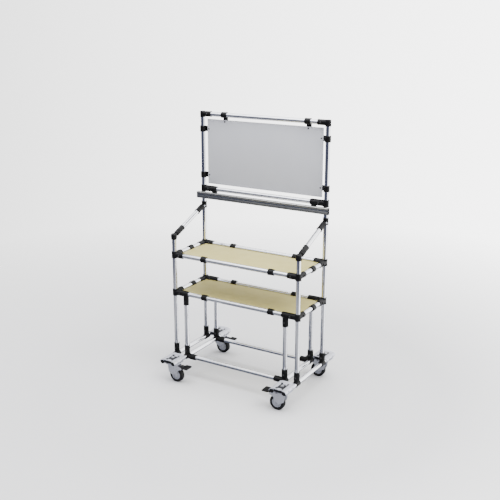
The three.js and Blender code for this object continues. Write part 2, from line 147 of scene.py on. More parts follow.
def rod(
    start: Point, end: Point, radius: float, chamfer: float = 0.4 * MM, steps: int = 32, bore: float = 0.0
) -> Mesh:
    """A round bar between two points, with chamfered ends, and hollow if it has a bore."""
    length = (Vector(end) - Vector(start)).length
    profile = [(bore, 0), (radius - chamfer, 0), (radius, chamfer)]
    profile += [(radius, length - chamfer), (radius - chamfer, length), (bore, length)]
    return aimed(spun(profile, steps, closed=bore > 0), start, end)


def softened(mesh: Mesh, width: float, segments: int = 2) -> Mesh:
    """Bevels every steep edge."""
    limit = math.radians(BEVEL_ANGLE)
    edges = [edge for edge in mesh.edges if edge.is_manifold and edge.calc_face_angle() > limit]
    bmesh.ops.bevel(
        mesh, geom=edges, offset=width, segments=segments, profile=0.5, affect="EDGES", material=-1,
        clamp_overlap=True,
    )
    return mesh


def block(low: Point, high: Point, bevel: float = 0.5 * MM, segments: int = 2) -> Mesh:
    """A box between its lowest and highest corners, with rounded edges."""
    size = Vector(high) - Vector(low)
    mesh = bmesh.new()
    middle = Matrix.Translation((Vector(high) + Vector(low)) / 2)
    bmesh.ops.create_cube(mesh, size=1, matrix=middle @ Matrix.Diagonal(size).to_4x4())
    return softened(mesh, bevel, segments) if bevel else mesh


def slab(outline: Outline, low: float, high: float, bevel: float = 0.4 * MM) -> Mesh:
    """An outline in X and Z, thickened along Y from low to high.

    Args:
        outline: the X and Z of each corner, in order.
        low: the Y of one face.
        high: the Y of the other.
        bevel: width of the rounding on its edges.

    Returns:
        The closed mesh.
    """
    mesh = bmesh.new()
    face = mesh.faces.new([mesh.verts.new((across, low, up)) for across, up in outline])
    grown = bmesh.ops.extrude_face_region(mesh, geom=[face])["geom"]
    verts = [part for part in grown if isinstance(part, bmesh.types.BMVert)]
    bmesh.ops.translate(mesh, verts=verts, vec=(0, high - low, 0))
    bmesh.ops.recalc_face_normals(mesh, faces=mesh.faces)
    return softened(mesh, bevel)


def arc(centre: Point, radius: float, start: float, stop: float, steps: int = 10) -> Outline:
    """Points on an arc between two angles in degrees."""
    turns = [math.radians(start + (stop - start) * step / steps) for step in range(steps + 1)]
    return [(centre[0] + radius * math.cos(turn), centre[1] + radius * math.sin(turn)) for turn in turns]


def curve(start: Point, bend: Point, end: Point, steps: int = 8) -> Outline:
    """Points on a curve from start to end that is pulled toward bend."""
    points = []
    for step in range(steps + 1):
        share = step / steps
        left, middle, right = (1 - share) ** 2, 2 * share * (1 - share), share**2
        points.append(tuple(left * start[k] + middle * bend[k] + right * end[k] for k in range(2)))
    return points


def mirrored(profile: Outline) -> Outline:
    """A profile that ends below the middle, followed by its mirror image above."""
    return profile + [(radius, -height) for radius, height in reversed(profile)]


def eased(share: float) -> float:
    """A share held between 0 and 1, with a soft start and end."""
    share = min(1.0, max(0.0, share))
    return share * share * (3 - 2 * share)


def hexagon(start: Point, end: Point, across: float) -> Mesh:
    """A bolt head or nut that stands on start, with its far corners rounded off."""
    length = (Vector(end) - Vector(start)).length
    corner = across / math.sqrt(3)
    mesh = bmesh.new()
    bmesh.ops.create_cone(
        mesh, cap_ends=True, segments=6, radius1=corner, radius2=corner, depth=length,
        matrix=Matrix.Translation((0, 0, length / 2)),
    )
    cap = max(mesh.faces, key=lambda face: face.calc_center_median().z)
    round_off = 0.09 * across
    bmesh.ops.bevel(
        mesh, geom=list(cap.edges), offset=round_off, segments=2, profile=0.5, affect="EDGES", material=-1
    )
    return aimed(mesh, start, end)


def gathered(meshes: Iterable[Mesh]) -> Mesh:
    """Puts several loose meshes in one."""
    whole = bmesh.new()
    for mesh in meshes:
        data = mesh_data("part", mesh)
        whole.from_mesh(data)
        bpy.data.meshes.remove(data)
    return whole


def combined(joins: Sequence[Mesh], cuts: Sequence[Mesh] = ()) -> Mesh:
    """Joins closed meshes to one body and cuts others from it.

    Args:
        joins: the meshes that make the body.
        cuts: the meshes that are taken away.

    Returns:
        The closed mesh.
    """
    body = placed("part", mesh_data("part", joins[0]))
    tools = []
    for meshes, operation in ((joins[1:], "UNION"), (cuts, "DIFFERENCE")):
        for mesh in meshes:
            tools.append(placed("part", mesh_data("part", mesh)))
            step = body.modifiers.new(operation, "BOOLEAN")
            step.operation = operation
            step.solver = "MANIFOLD"
            step.object = tools[-1]
    result = bmesh.new()
    result.from_object(body, bpy.context.evaluated_depsgraph_get())
    for thing in [body, *tools]:
        bpy.data.meshes.remove(thing.data)
    bmesh.ops.dissolve_degenerate(result, edges=result.edges, dist=1e-6)
    return result


# ---------- Shader work ----------

Value = Union["Wire", float, Sequence[float]]


class Wire:
    """A node's output that takes part in sums."""

    def __init__(self, graph: "Graph", socket: bpy.types.NodeSocket) -> None:
        """Keeps the socket and the graph that it belongs to."""
        self.graph = graph
        self.socket = socket

    def maths(self, operation: str, first: Value, second: Value) -> "Wire":
        """Adds a Math node."""
        return self.graph.node("ShaderNodeMath", {"operation": operation}, {0: first, 1: second})

    def __add__(self, other: Value) -> "Wire":
        """This plus other."""
        return self.maths("ADD", self, other)

    def __sub__(self, other: Value) -> "Wire":
        """This less other."""
        return self.maths("SUBTRACT", self, other)

    def __rsub__(self, other: Value) -> "Wire":
        """Other less this."""
        return self.maths("SUBTRACT", other, self)

    def __mul__(self, other: Value) -> "Wire":
        """This times other."""
        return self.maths("MULTIPLY", self, other)

    __radd__ = __add__
    __rmul__ = __mul__


class Graph:
    """The node tree of one material or world."""

    def __init__(self, tree: bpy.types.NodeTree) -> None:
        """Starts with an empty tree."""
        self.tree = tree
        tree.nodes.clear()

    def node(
        self, kind: str, settings: Optional[dict] = None, sockets: Optional[dict] = None,
        output: Union[int, str] = 0,
    ) -> Wire:
        """Adds a node.

        Args:
            kind: the node's type.
            settings: its own properties, which are set first.
            sockets: a value or a Wire for each of its inputs.
            output: the output that is handed back.

        Returns:
            That output.
        """
        made = self.tree.nodes.new(kind)
        for name, value in (settings or {}).items():
            setattr(made, name, value)
        for name, value in (sockets or {}).items():
            if isinstance(value, Wire):
                self.tree.links.new(value.socket, made.inputs[name])
            else:
                made.inputs[name].default_value = value
        return Wire(self, made.outputs[output] if len(made.outputs) else None)

    def noise(self, scale: float, detail: float = 3.0, stretch: Point = (1, 1, 1)) -> Wire:
        """Soft noise from 0 to 1 over the piece, with so many cells a metre."""
        place = self.node("ShaderNodeTexCoord", output="Object")
        place = self.node("ShaderNodeMapping", {}, {"Vector": place, "Scale": stretch})
        return self.node("ShaderNodeTexNoise", {}, {"Vector": place, "Scale": scale, "Detail": detail})

    def between(self, value: Wire, low: float, high: float, to_low: float, to_high: float) -> Wire:
        """Maps a value from one span to another and holds it at the ends."""
        spans = {"Value": value, "From Min": low, "From Max": high, "To Min": to_low, "To Max": to_high}
        return self.node("ShaderNodeMapRange", {}, spans)

    def mixed(self, share: Value, first: Value, second: Value) -> Wire:
        """Mixes two colours."""
        return self.node("ShaderNodeMix", {"data_type": "RGBA"}, {0: share, 6: first, 7: second}, 2)


def rgba(colour: Colour) -> tuple[float, float, float, float]:
    """A colour with its alpha."""
    return (*colour, 1.0)


CLOUD_DETAIL = 4.0
GRAIN_DETAIL = 2.0
CLOUD_IN_COLOUR = 0.7  # the grain has the rest
COLOUR_SPAN = (0.35, 0.65)  # where most of the noise for a colour lies
ROUGHNESS_SPAN = (0.3, 0.7)


@dataclass(frozen=True)
class Finish:
    """A surface whose colour, roughness and relief vary a little, as a real one's do."""

    name: str
    slot: Slot
    colour: Colour
    worn: Colour  # the colour that patches of it drift to
    patches: float = 18.0  # cells a metre
    patch_share: float = 0.5
    grain: float = 700.0
    stretch: Point = (1, 1, 1)
    smooth: float = 0.3  # lowest roughness
    rough: float = 0.5
    metallic: float = 0.0
    shine: float = 0.5  # how strong its plain reflection is
    relief: float = 0.02 * MM

    def material(self) -> bpy.types.Material:
        """The material, made the first time that it is asked for."""
        known = bpy.data.materials.get(self.name)
        return known or self.made()

    def made(self) -> bpy.types.Material:
        """Builds the material."""
        material = bpy.data.materials.new(self.name)
        material.use_nodes = True
        graph = Graph(material.node_tree)
        cloud = graph.noise(self.patches, CLOUD_DETAIL)
        grain = graph.noise(self.grain, GRAIN_DETAIL, self.stretch)
        blend = cloud * CLOUD_IN_COLOUR + grain * (1 - CLOUD_IN_COLOUR)
        share = graph.between(blend, *COLOUR_SPAN, 0.0, self.patch_share)
        sockets = {
            "Base Color": graph.mixed(share, rgba(self.colour), rgba(self.worn)),
            "Roughness": graph.between((grain + cloud) * 0.5, *ROUGHNESS_SPAN, self.smooth, self.rough),
            "Metallic": self.metallic,
            "Specular IOR Level": self.shine,
            "Normal": graph.node("ShaderNodeBump", {}, {"Distance": self.relief, "Height": grain}),
        }
        shader = graph.node("ShaderNodeBsdfPrincipled", {}, sockets)
        graph.node("ShaderNodeOutputMaterial", {}, {"Surface": shader})
        return material


def brushed_pipe(axis: Axis) -> Finish:
    """Bright steel pipe, lightly brushed along its length."""
    return Finish(
        f"brushed_pipe_{axis.name.lower()}", Slot.PIPE, (0.80, 0.81, 0.84), (0.66, 0.67, 0.71),
        patches=9.0, grain=2600.0, stretch=axis.value, smooth=0.09, rough=0.18, metallic=1.0,
        relief=0.004 * MM,
    )


JOINT_BLACK = Finish(
    "joint_black", Slot.JOINT, (0.004, 0.004, 0.0045), (0.010, 0.010, 0.011), patches=60.0,
    grain=1500.0, smooth=0.36, rough=0.52, shine=0.14, relief=0.03 * MM,
)
BOLT_BLACK = Finish(
    "bolt_black", Slot.JOINT, (0.02, 0.02, 0.022), (0.045, 0.045, 0.048), patches=160.0,
    grain=3000.0, smooth=0.32, rough=0.48, metallic=0.5, relief=0.01 * MM,
)
BOARD_BEIGE = Finish(
    "board_beige", Slot.BOARD, (0.49, 0.43, 0.155), (0.43, 0.37, 0.125), patches=14.0,
    grain=520.0, stretch=(0.25, 1, 1), smooth=0.50, rough=0.66, relief=0.05 * MM,
)
PANEL_GREY = Finish(
    "panel_grey", Slot.PANEL, (0.66, 0.67, 0.71), (0.61, 0.62, 0.66), patches=6.0, grain=900.0,
    smooth=0.42, rough=0.55, relief=0.03 * MM,
)
RAIL_METAL = Finish(
    "rail_metal", Slot.RAIL, (0.42, 0.42, 0.40), (0.33, 0.33, 0.31), patches=8.0, grain=2200.0,
    stretch=Axis.X.value, smooth=0.30, rough=0.45, metallic=1.0, relief=0.01 * MM,
)
STRIP_SLATE = Finish(
    "strip_slate", Slot.STRIP, (0.07, 0.08, 0.12), (0.10, 0.11, 0.15), patches=20.0, grain=900.0,
    smooth=0.45, rough=0.6,
)
ZINC = Finish(
    "zinc_plate", Slot.ZINC, (0.56, 0.57, 0.63), (0.44, 0.45, 0.51), patches=55.0, grain=1300.0,
    smooth=0.22, rough=0.40, metallic=0.45, relief=0.02 * MM,
)
# Near-black painted shade: a colour only for the pieces that stand in for the shade inside and under the
# casters' saddles
PAINTED_SHADE_BLACK = Finish(
    "painted_shade_black", Slot.ZINC, (0.012, 0.012, 0.016), (0.03, 0.03, 0.036), patches=60.0, grain=1600.0,
    smooth=0.35, rough=0.55, metallic=0.2, shine=0.25, relief=0.02 * MM,
)
DISC_GREY = Finish(
    "disc_grey", Slot.ZINC, (0.34, 0.35, 0.40), (0.26, 0.27, 0.31), patches=70.0, grain=1500.0,
    smooth=0.4, rough=0.55, metallic=0.1,
)
BOLT_STEEL = Finish(
    "bolt_steel", Slot.ZINC, (0.55, 0.56, 0.60), (0.36, 0.37, 0.40), patches=160.0, grain=3000.0,
    smooth=0.25, rough=0.42, metallic=0.9, relief=0.01 * MM,
)
TYRE_RUBBER = Finish(
    "tyre_rubber", Slot.RUBBER, (0.006, 0.006, 0.007), (0.022, 0.022, 0.023), patches=45.0,
    grain=1800.0, smooth=0.60, rough=0.82, shine=0.18, relief=0.06 * MM,
)
PEDAL_PLASTIC = Finish(
    "pedal_plastic", Slot.PLASTIC, (0.005, 0.005, 0.006), (0.014, 0.014, 0.015), patches=80.0,
    grain=2200.0, smooth=0.5, rough=0.68, shine=0.16, relief=0.05 * MM,
)


def piece(name: str, mesh: Mesh, finish: Finish, node: str = "", body: str = "root") -> None:
    """Makes one finished piece of the cart.

    Args:
        name: the piece's name.
        mesh: its shape, in place.
        finish: its surface.
        node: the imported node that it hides, if any.
        body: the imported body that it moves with.
    """
    data = mesh_data(name, mesh)
    data.shade_smooth()
    data.set_sharp_from_angle(angle=math.radians(SHARP_ANGLE))
    thing = placed(name, data)
    data.materials.append(finish.material())
    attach(thing, body)
    if node:
        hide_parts(node)
    LOG.info("%s: %d faces on %s", name, len(data.polygons), body)


# ---------- The frame's own places ----------


def middle(node: str) -> Vector:
    """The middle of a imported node's box."""
    low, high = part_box(node)
    return (low + high) / 2


def joint_place(name: str) -> Vector:
    """Where a packed joint's axis is."""
    return Vector(next(joint["pos_m"] for joint in frame["joints"] if joint["name"] == name))


def corners() -> Iterator[tuple[str, int, int]]:
    """The name of each corner of the cart, with the signs of its X and its Y."""
    for side, x in SIDES:
        for end, y in ENDS:
            yield f"{end}_{side}", x, y


@dataclass(frozen=True)
class Pipe:
    """The pipe that everything is made of."""

    radius: float = 14 * MM
    wall: float = 1.5 * MM
    gap: float = 0.3 * MM  # to a joint's sleeve
    end_gap: float = 1 * MM  # from a pipe's end to the pipe that it meets
    socket_gap: float = 0.6 * MM  # from a pipe's round to the floor of a closed joint

    @property
    def bore(self) -> float:
        """Radius of a hole that takes the pipe."""
        return self.radius + self.gap

    def run(self, start: Point, end: Point) -> Mesh:
        """A length of pipe."""
        return rod(start, end, self.radius, steps=48, bore=self.radius - self.wall)


PIPE = Pipe()


@dataclass(frozen=True)
class Places:
    """The axes of the frame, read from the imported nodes."""

    post: Vector = field(default_factory=lambda: middle("post_rear_right"))
    leg: Vector = field(default_factory=lambda: middle("base_pipe_inner_right"))
    upper_shelf: float = field(default_factory=lambda: middle("upper_shelf_pipe_front").z)
    lower_shelf: float = field(default_factory=lambda: middle("lower_shelf_pipe_front").z)
    panel_lower: float = field(default_factory=lambda: middle("panel_pipe_lower").z)
    panel_top: float = field(default_factory=lambda: middle("panel_pipe_top").z)

    @property
    def base(self) -> float:
        """Height of the base pipes' axes."""
        return self.leg.z


# ---------- Joints ----------


@dataclass(frozen=True)
class Bolt:
    """A hex bolt and its nut through a joint, each on a washer."""

    head: Vector  # middle of the face that the head's washer lies on
    nut: Vector  # the same for the nut
    across: float = 10 * MM
    height: float = 4.2 * MM
    washer: float = 6.4 * MM
    washer_height: float = 1.2 * MM
    shank: float = 3 * MM
    past: float = 2.5 * MM  # the shank past the nut
    nut_share: float = 1.0  # the nut's height, as a share of the head's

    def mesh(self) -> Mesh:
        """The head, shank, nut and washers."""
        way = (self.head - self.nut).normalized()
        nut_height = self.height * self.nut_share
        tip = self.nut - way * (self.washer_height + nut_height + self.past)
        parts = [rod(tip, self.head, self.shank)]
        for place, out, height in ((self.head, way, self.height), (self.nut, -way, nut_height)):
            seat = place + out * self.washer_height
            parts.append(rod(place, seat, self.washer, 0.2 * MM, 24))
            parts.append(hexagon(seat, seat + out * height, self.across))
        return gathered(parts)


@dataclass(frozen=True)
class Sleeve:
    """One round sleeve of a joint, from its start to its mouth, perhaps with split fins and a bolt."""

    start: Vector
    mouth: Vector
    fin_way: Vector  # one of the two sides that the fins stand out to
    open_start: bool = False  # whether the start is a mouth too
    fins_from: float = 0.0  # from the start to the fins, or 0 for none
    bolt: Optional[Bolt] = None

    radius: float = 18 * MM
    lip: float = 0.8 * MM
    lip_length: float = 3.5 * MM
    round_off: float = 0.5 * MM
    fin: float = 2.6 * MM  # how far the fin stands out
    fin_thickness: float = 4.4 * MM
    fin_split: float = 0.9 * MM
    fin_web: float = 0.6 * MM  # what a split leaves between it and the sleeve's round
    fin_inset: float = 7 * MM  # from the mouth back to the fin

    @property
    def length(self) -> float:
        """Length from the start to the mouth."""
        return (self.mouth - self.start).length

    def outside(self) -> Mesh:
        """The solid sleeve before it is bored."""
        radius, flare, length = self.radius, self.radius + self.lip, self.length
        edge, lip = self.round_off, self.lip_length
        profile = [(0, 0), (radius, 0)]
        if self.open_start:
            profile = [(0, 0), (flare - edge, 0), (flare, edge), (flare, lip), (radius, lip + self.lip)]
        profile += [(radius, length - lip - self.lip), (flare, length - lip), (flare, length - edge)]
        profile += [(flare - edge, length), (0, length)]
        return aimed(spun(profile, 36), self.start, self.mouth)

    def box(self, low: float, high: float, reach_low: float, reach_high: float, half: float) -> Mesh:
        """A block beside the axis: its span along it, its reach out to the fin's side, its half width."""
        way = (self.mouth - self.start).normalized()
        out = self.fin_way.normalized()
        mesh = block((-half, reach_low, low), (half, reach_high, high), 0)
        turn = Matrix((out.cross(way), out, way)).transposed().to_4x4()
        mesh.transform(Matrix.Translation(self.start) @ turn)
        return mesh

    def fins(self) -> Mesh:
        """The two fins, as one block through the axis."""
        reach = self.radius + self.fin
        return self.box(self.fins_from, self.length - self.fin_inset, -reach, reach, self.fin_thickness / 2)

    def splits(self) -> list[Mesh]:
        """What is cut from the middle of each fin."""
        first, last = self.fins_from - MM, self.length - self.fin_inset + MM
        shallow, deep = self.radius + self.fin_web, self.radius + self.fin + MM
        spans = [(-deep, -shallow), (shallow, deep)]
        return [self.box(first, last, *span, self.fin_split / 2) for span in spans]

    def bore(self) -> Mesh:
        """What is drilled out, past the mouth and past an open start."""
        way = (self.mouth - self.start).normalized() * 2 * MM
        start = self.start - way if self.open_start else self.start
        return rod(start, self.mouth + way, PIPE.bore, 0)


@dataclass(frozen=True)
class JointSizes:
    """Sizes of the joints' sleeves, each from the axis of the pipe that the joint holds."""

    clamp: float = 22 * MM
    shelf_arm: float = 72 * MM
    long_arm_past: float = 22 * MM  # past the inner leg's axis
    top_arm: float = 68 * MM
    cross_arm: float = 72 * MM
    foot: float = 77 * MM
    leg_socket: float = 75 * MM
    rail_stub: float = 53 * MM
    cap_top: float = 17.5 * MM  # a closed joint's top above the axis of its arm
    fins: float = 19 * MM  # to where the fins start
    upright_fins: float = 20 * MM  # the same on a foot and on a leg's socket
    bolt: float = 46 * MM
    near_bolt: float = 44 * MM  # on a foot and on a top corner
    boss: float = 20.2 * MM  # to the face under a bolt's washer


SIZES = JointSizes()


def clamp(centre: Vector, along: Vector = UP) -> Sleeve:
    """The short open sleeve that holds a pipe."""
    half = along * SIZES.clamp
    return Sleeve(centre - half, centre + half, RIGHT, open_start=True)


def arm(
    at: Vector, way: Vector, length: float, fin_way: Vector, bolt_way: Vector,
    bolt_at: float = SIZES.bolt, fins_from: float = SIZES.fins,
) -> Sleeve:
    """A finned sleeve with a bolt across it.

    Args:
        at: where it starts, on the axis of the pipe that the joint holds.
        way: that it points.
        length: to its mouth.
        fin_way: one of the two sides that its fins stand out to.
        bolt_way: from the bolt's nut to its head.
        bolt_at: from the start to the bolt.
        fins_from: from the start to the fins.

    Returns:
        The sleeve.
    """
    place, half = at + way * bolt_at, bolt_way * SIZES.boss
    bolt = Bolt(place + half, place - half)
    return Sleeve(at, at + way * length, fin_way, fins_from=fins_from, bolt=bolt)


@dataclass
class ClampJoint:
    """A black joint of two pressed shells with its bolts."""

    name: str
    sleeves: list[Sleeve]
    node: str = ""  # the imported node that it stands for
    solids: tuple[Mesh, ...] = ()  # joined to the sleeves
    holes: tuple[Mesh, ...] = ()
    boss_past: float = 1.2 * MM  # a bolt's boss past its washer

    def build(self) -> None:
        """Makes the shells and the bolts as pieces."""
        joins = [sleeve.outside() for sleeve in self.sleeves] + list(self.solids)
        cuts = [sleeve.bore() for sleeve in self.sleeves] + list(self.holes)
        for sleeve in self.sleeves:
            if sleeve.fins_from:
                joins.append(sleeve.fins())
                cuts = sleeve.splits() + cuts
        bolts = [sleeve.bolt for sleeve in self.sleeves if sleeve.bolt]
        for bolt in bolts:
            joins.append(rod(bolt.head, bolt.nut, bolt.washer + self.boss_past, 0.6 * MM, 24))
        piece(f"{self.name}_joint", combined(joins, cuts), JOINT_BLACK, self.node)
        piece(f"{self.name}_joint_bolts", gathered(bolt.mesh() for bolt in bolts), BOLT_BLACK)


@dataclass
class Pipework:
    """All the pipes, with the feet of the uprights and the end caps of the base pipes."""

    places: Places
    cap_rim: float = 1.2 * MM
    cap_dome: float = 3 * MM
    cap_depth: float = 12 * MM
    cap_taper: float = 10 * MM  # from the rim in to where the plug tapers

    def level_runs(self) -> None:
        """The pipes that lie along X or Y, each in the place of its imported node."""
        for name in frame["nodes"]:
            if "_pipe" not in name:
                continue
            low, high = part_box(name)
            centre = (low + high) / 2
            axis = Axis.X if high.x - low.x > high.y - low.y else Axis.Y
            start, end = centre.copy(), centre.copy()
            index = 0 if axis is Axis.X else 1
            start[index], end[index] = low[index], high[index]
            piece(f"{name}_smooth", PIPE.run(start, end), brushed_pipe(axis), name)
            if name.startswith("base_pipe"):
                self.end_caps(name, start, end)

    def end_caps(self, name: str, start: Vector, end: Vector) -> None:
        """A black domed plug in each end of a base pipe."""
        inside, outside, rim = PIPE.radius - PIPE.wall - PIPE.gap, PIPE.radius, self.cap_rim
        profile = [(0, -self.cap_depth), (inside - MM, -self.cap_depth), (inside, -self.cap_taper)]
        profile += [(inside, 0), (outside, 0), (outside, rim)]
        for turn in [math.radians(angle) for angle in (25, 45, 65)]:
            profile.append((outside * math.cos(turn), rim + self.cap_dome * math.sin(turn)))
        profile.append((0, rim + self.cap_dome))
        for place, at, other in (("front", start, end), ("rear", end, start)):
            piece(f"{name}_cap_{place}", aimed(spun(profile, 32), at, at + (at - other)), PEDAL_PLASTIC)

    def uprights(self) -> None:
        """The posts and the inner legs, with the foot joint under each."""
        places = self.places
        bottom = places.base + PIPE.radius + PIPE.end_gap
        leg_top = places.lower_shelf - PIPE.radius - PIPE.end_gap
        for corner, x, y in corners():
            post_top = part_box(f"post_{corner}")[1].z
            for kind, across, top in (("post", places.post.x, post_top), ("leg", places.leg.x, leg_top)):
                at = Vector((x * across, y * places.post.y, 0))
                name = f"{kind}_{corner}"
                run = PIPE.run(at + UP * bottom, at + UP * top)
                piece(f"{name}_pipe", run, brushed_pipe(Axis.Z), name)
                self.foot(name, at + UP * places.base, x if kind == "leg" else 0)

    def foot(self, name: str, centre: Vector, cross: int) -> None:
        """The joint that holds an upright on a base pipe.

        Args:
            name: the upright's name.
            centre: where its axis meets the base pipe's.
            cross: the sign of X there if a cross pipe meets them, or 0.
        """
        fins = SIZES.upright_fins
        sleeves = [clamp(centre, REAR), arm(centre, UP, SIZES.foot, RIGHT, -REAR, SIZES.near_bolt, fins)]
        if cross:
            sleeves.append(Sleeve(centre, centre - RIGHT * cross * SIZES.cross_arm, UP, fins_from=fins))
        ClampJoint(f"{name}_foot", sleeves).build()

    def build(self) -> None:
        """Makes every pipe."""
        self.level_runs()
        self.uprights()


@dataclass
class CornerJoints:
    """The joints at the corners of the shelves and of the panel frame."""

    places: Places

    @property
    def long_arm(self) -> float:
        """Length of an arm that reaches past the inner leg's axis."""
        return self.places.post.x - self.places.leg.x + SIZES.long_arm_past

    def shelf(self, level: str, height: float, with_leg: bool) -> None:
        """The four corners of one shelf.

        Args:
            level: the shelf's name.
            height: of its pipes' axes.
            with_leg: whether the arm along X reaches past the inner leg, with a socket for it.
        """
        places = self.places
        reach = self.long_arm if with_leg else SIZES.shelf_arm
        for corner, x, y in corners():
            centre = Vector((x * places.post.x, y * places.post.y, height))
            sleeves = [
                clamp(centre),
                arm(centre, -RIGHT * x, reach, UP, REAR * y),
                arm(centre, -REAR * y, SIZES.shelf_arm, UP, RIGHT * x),
            ]
            if with_leg:
                leg = Vector((x * places.leg.x, centre.y, height))
                socket = arm(leg, -UP, SIZES.leg_socket, RIGHT, REAR * y, fins_from=SIZES.upright_fins)
                sleeves.append(socket)
            name = f"{level}_corner_{corner}"
            ClampJoint(name, sleeves, name).build()

    def capped(self, side: str, x: int) -> None:
        """A top corner, closed over the end of its post."""
        centre = Vector((x * self.places.post.x, self.places.post.y, self.places.panel_top))
        radius, top = Sleeve.radius, SIZES.cap_top
        profile = [(0, -MM), (radius, -MM), (radius, top - 3 * MM), (radius - 1.2 * MM, top - 0.8 * MM)]
        profile += [(radius - 4 * MM, top), (0, top)]
        cap = aimed(spun(profile, 36), centre, centre + UP)
        sleeves = [
            Sleeve(centre, centre - UP * SIZES.clamp, RIGHT),
            arm(centre, -RIGHT * x, SIZES.top_arm, REAR, REAR, SIZES.near_bolt),
        ]
        hole = rod(centre - UP * MM, centre + UP * (PIPE.radius + PIPE.socket_gap), PIPE.bore, 0)
        name = f"top_corner_{side}"
        ClampJoint(name, sleeves, name, (cap,), (hole,)).build()

    def panel_corner(self, side: str, x: int) -> None:
        """A lower corner of the panel frame, with a stub down behind the tool rail."""
        centre = Vector((x * self.places.post.x, self.places.post.y, self.places.panel_lower))
        leg = Vector((x * self.places.leg.x, centre.y, centre.z))
        sleeves = [
            clamp(centre),
            arm(centre, -RIGHT * x, self.long_arm, UP, REAR),
            Sleeve(leg, leg - UP * SIZES.rail_stub, RIGHT, lip=0.2 * MM),
        ]
        name = f"panel_corner_{side}"
        ClampJoint(name, sleeves, name).build()

    def build(self) -> None:
        """Makes every corner."""
        self.shelf("upper_shelf", self.places.upper_shelf, False)
        self.shelf("lower_shelf", self.places.lower_shelf, True)
        for side, x in SIDES:
            self.capped(side, x)
            self.panel_corner(side, x)


@dataclass
class Brace:
    """A slanted pipe from a front post's top to a rear post, with a swivel joint at each end."""

    places: Places
    side: str
    sign: int
    cap_radius: float = 20 * MM
    cap_half_height: float = 21 * MM
    neck: float = 11 * MM
    low_sleeve: Pair = (24 * MM, 104 * MM)  # from the front post's axis
    high_sleeve: Pair = (24 * MM, 96 * MM)  # from the rear post's axis
    sleeve_floor: float = 7 * MM  # thickness of a sleeve's closed end
    lip: float = 0.8 * MM
    ribs: int = 5
    rib_pitch: float = 7 * MM
    rib_depth: float = 0.9 * MM
    eye: float = 10.5 * MM
    eye_at: float = 19 * MM  # from the rear post's axis
    eye_half: float = 13 * MM

    def build(self) -> None:
        """Makes the pipe and both joints."""
        node = f"brace_{self.side}"
        low_corner, high_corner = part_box(node)
        x = self.sign * self.places.post.x
        self.low = Vector((x, -self.places.post.y, low_corner.z + self.cap_half_height))
        self.high = Vector((x, self.places.post.y, high_corner.z - SIZES.clamp))
        self.way = (self.high - self.low).normalized()
        inset = self.sleeve_floor + PIPE.end_gap
        start = self.low + self.way * (self.low_sleeve[0] + inset)
        end = self.high - self.way * (self.high_sleeve[0] + inset)
        piece(f"{node}_pipe", PIPE.run(start, end), brushed_pipe(Axis.Y), node)
        self.low_joint(node)
        self.high_joint(node)

    def ribbed(self, start: Vector, end: Vector) -> Mesh:
        """A closed sleeve with ribs round its first part."""
        length, radius = (end - start).length, Sleeve.radius
        lip, valley = radius + self.lip, radius - self.rib_depth
        profile = [(0, 0), (12.5 * MM, 0), (15.5 * MM, 2 * MM)]
        for rib in range(self.ribs):
            at = 5 * MM + rib * self.rib_pitch
            profile += [(valley, at), (radius, at + MM), (radius, at + 4 * MM), (valley, at + 5 * MM)]
        profile += [(radius, length - 5 * MM), (lip, length - 4 * MM), (lip, length - 0.5 * MM)]
        profile += [(lip - 0.5 * MM, length), (0, length)]
        return aimed(spun(profile, 36), start, end)

    def sleeve_bore(self, start: Vector, end: Vector) -> Mesh:
        """The blind hole for the brace pipe."""
        way = (end - start).normalized()
        return rod(start + way * self.sleeve_floor, end + way * 2 * MM, PIPE.bore, 0)

    def low_joint(self, node: str) -> None:
        """The domed cap on the front post, with its neck and sleeve."""
        low, way, half, wide = self.low, self.way, self.cap_half_height, self.cap_radius
        profile = [(0, -half), (wide - 3 * MM, -half), (wide - MM, -half + 2 * MM), (wide, -half * 0.4)]
        for turn in [math.radians(angle) for angle in range(0, 90, 15)]:
            profile.append((wide * math.cos(turn), half * 0.45 + half * 0.55 * math.sin(turn)))
        cap = aimed(spun([*profile, (0, half)], 40), low, low + UP)
        start, end = [low + way * place for place in self.low_sleeve]
        neck = rod(low + way * (PIPE.radius + 3 * MM), start + way * 2 * MM, self.neck + MM)
        hole = rod(low - UP * 2 * half, low + UP * (PIPE.radius + PIPE.socket_gap), PIPE.bore, 0)
        mesh = combined([cap, neck, self.ribbed(start, end)], [hole, self.sleeve_bore(start, end)])
        piece(f"{node}_low_joint", mesh, JOINT_BLACK)
        out = RIGHT * self.sign
        seat = low + out * (wide - 0.4 * MM)
        bolt = Bolt(seat, seat)
        head = seat + out * bolt.washer_height
        parts = [rod(seat - out * 4 * MM, head, bolt.washer, 0.2 * MM, 24)]
        parts.append(hexagon(head, head + out * bolt.height * 0.6, bolt.across))
        piece(f"{node}_low_bolt", gathered(parts), BOLT_STEEL)

    def high_joint(self, node: str) -> None:
        """The collar on the rear post, with an eye, its bolt and a sleeve."""
        high, way = self.high, self.way
        collar = clamp(high)
        start, end = [high - way * place for place in self.high_sleeve]
        neck = rod(high - way * PIPE.radius, start - way * 2 * MM, self.neck)
        eye_at, half = high - way * self.eye_at, RIGHT * self.eye_half
        eye = rod(eye_at - half, eye_at + half, self.eye, 1.2 * MM)
        joins = [collar.outside(), neck, eye, self.ribbed(start, end)]
        mesh = combined(joins, [collar.bore(), self.sleeve_bore(start, end)])
        piece(f"{node}_high_joint", mesh, JOINT_BLACK)
        piece(f"{node}_high_bolt", Bolt(eye_at + half, eye_at - half).mesh(), BOLT_STEEL)


# ---------- Boards ----------


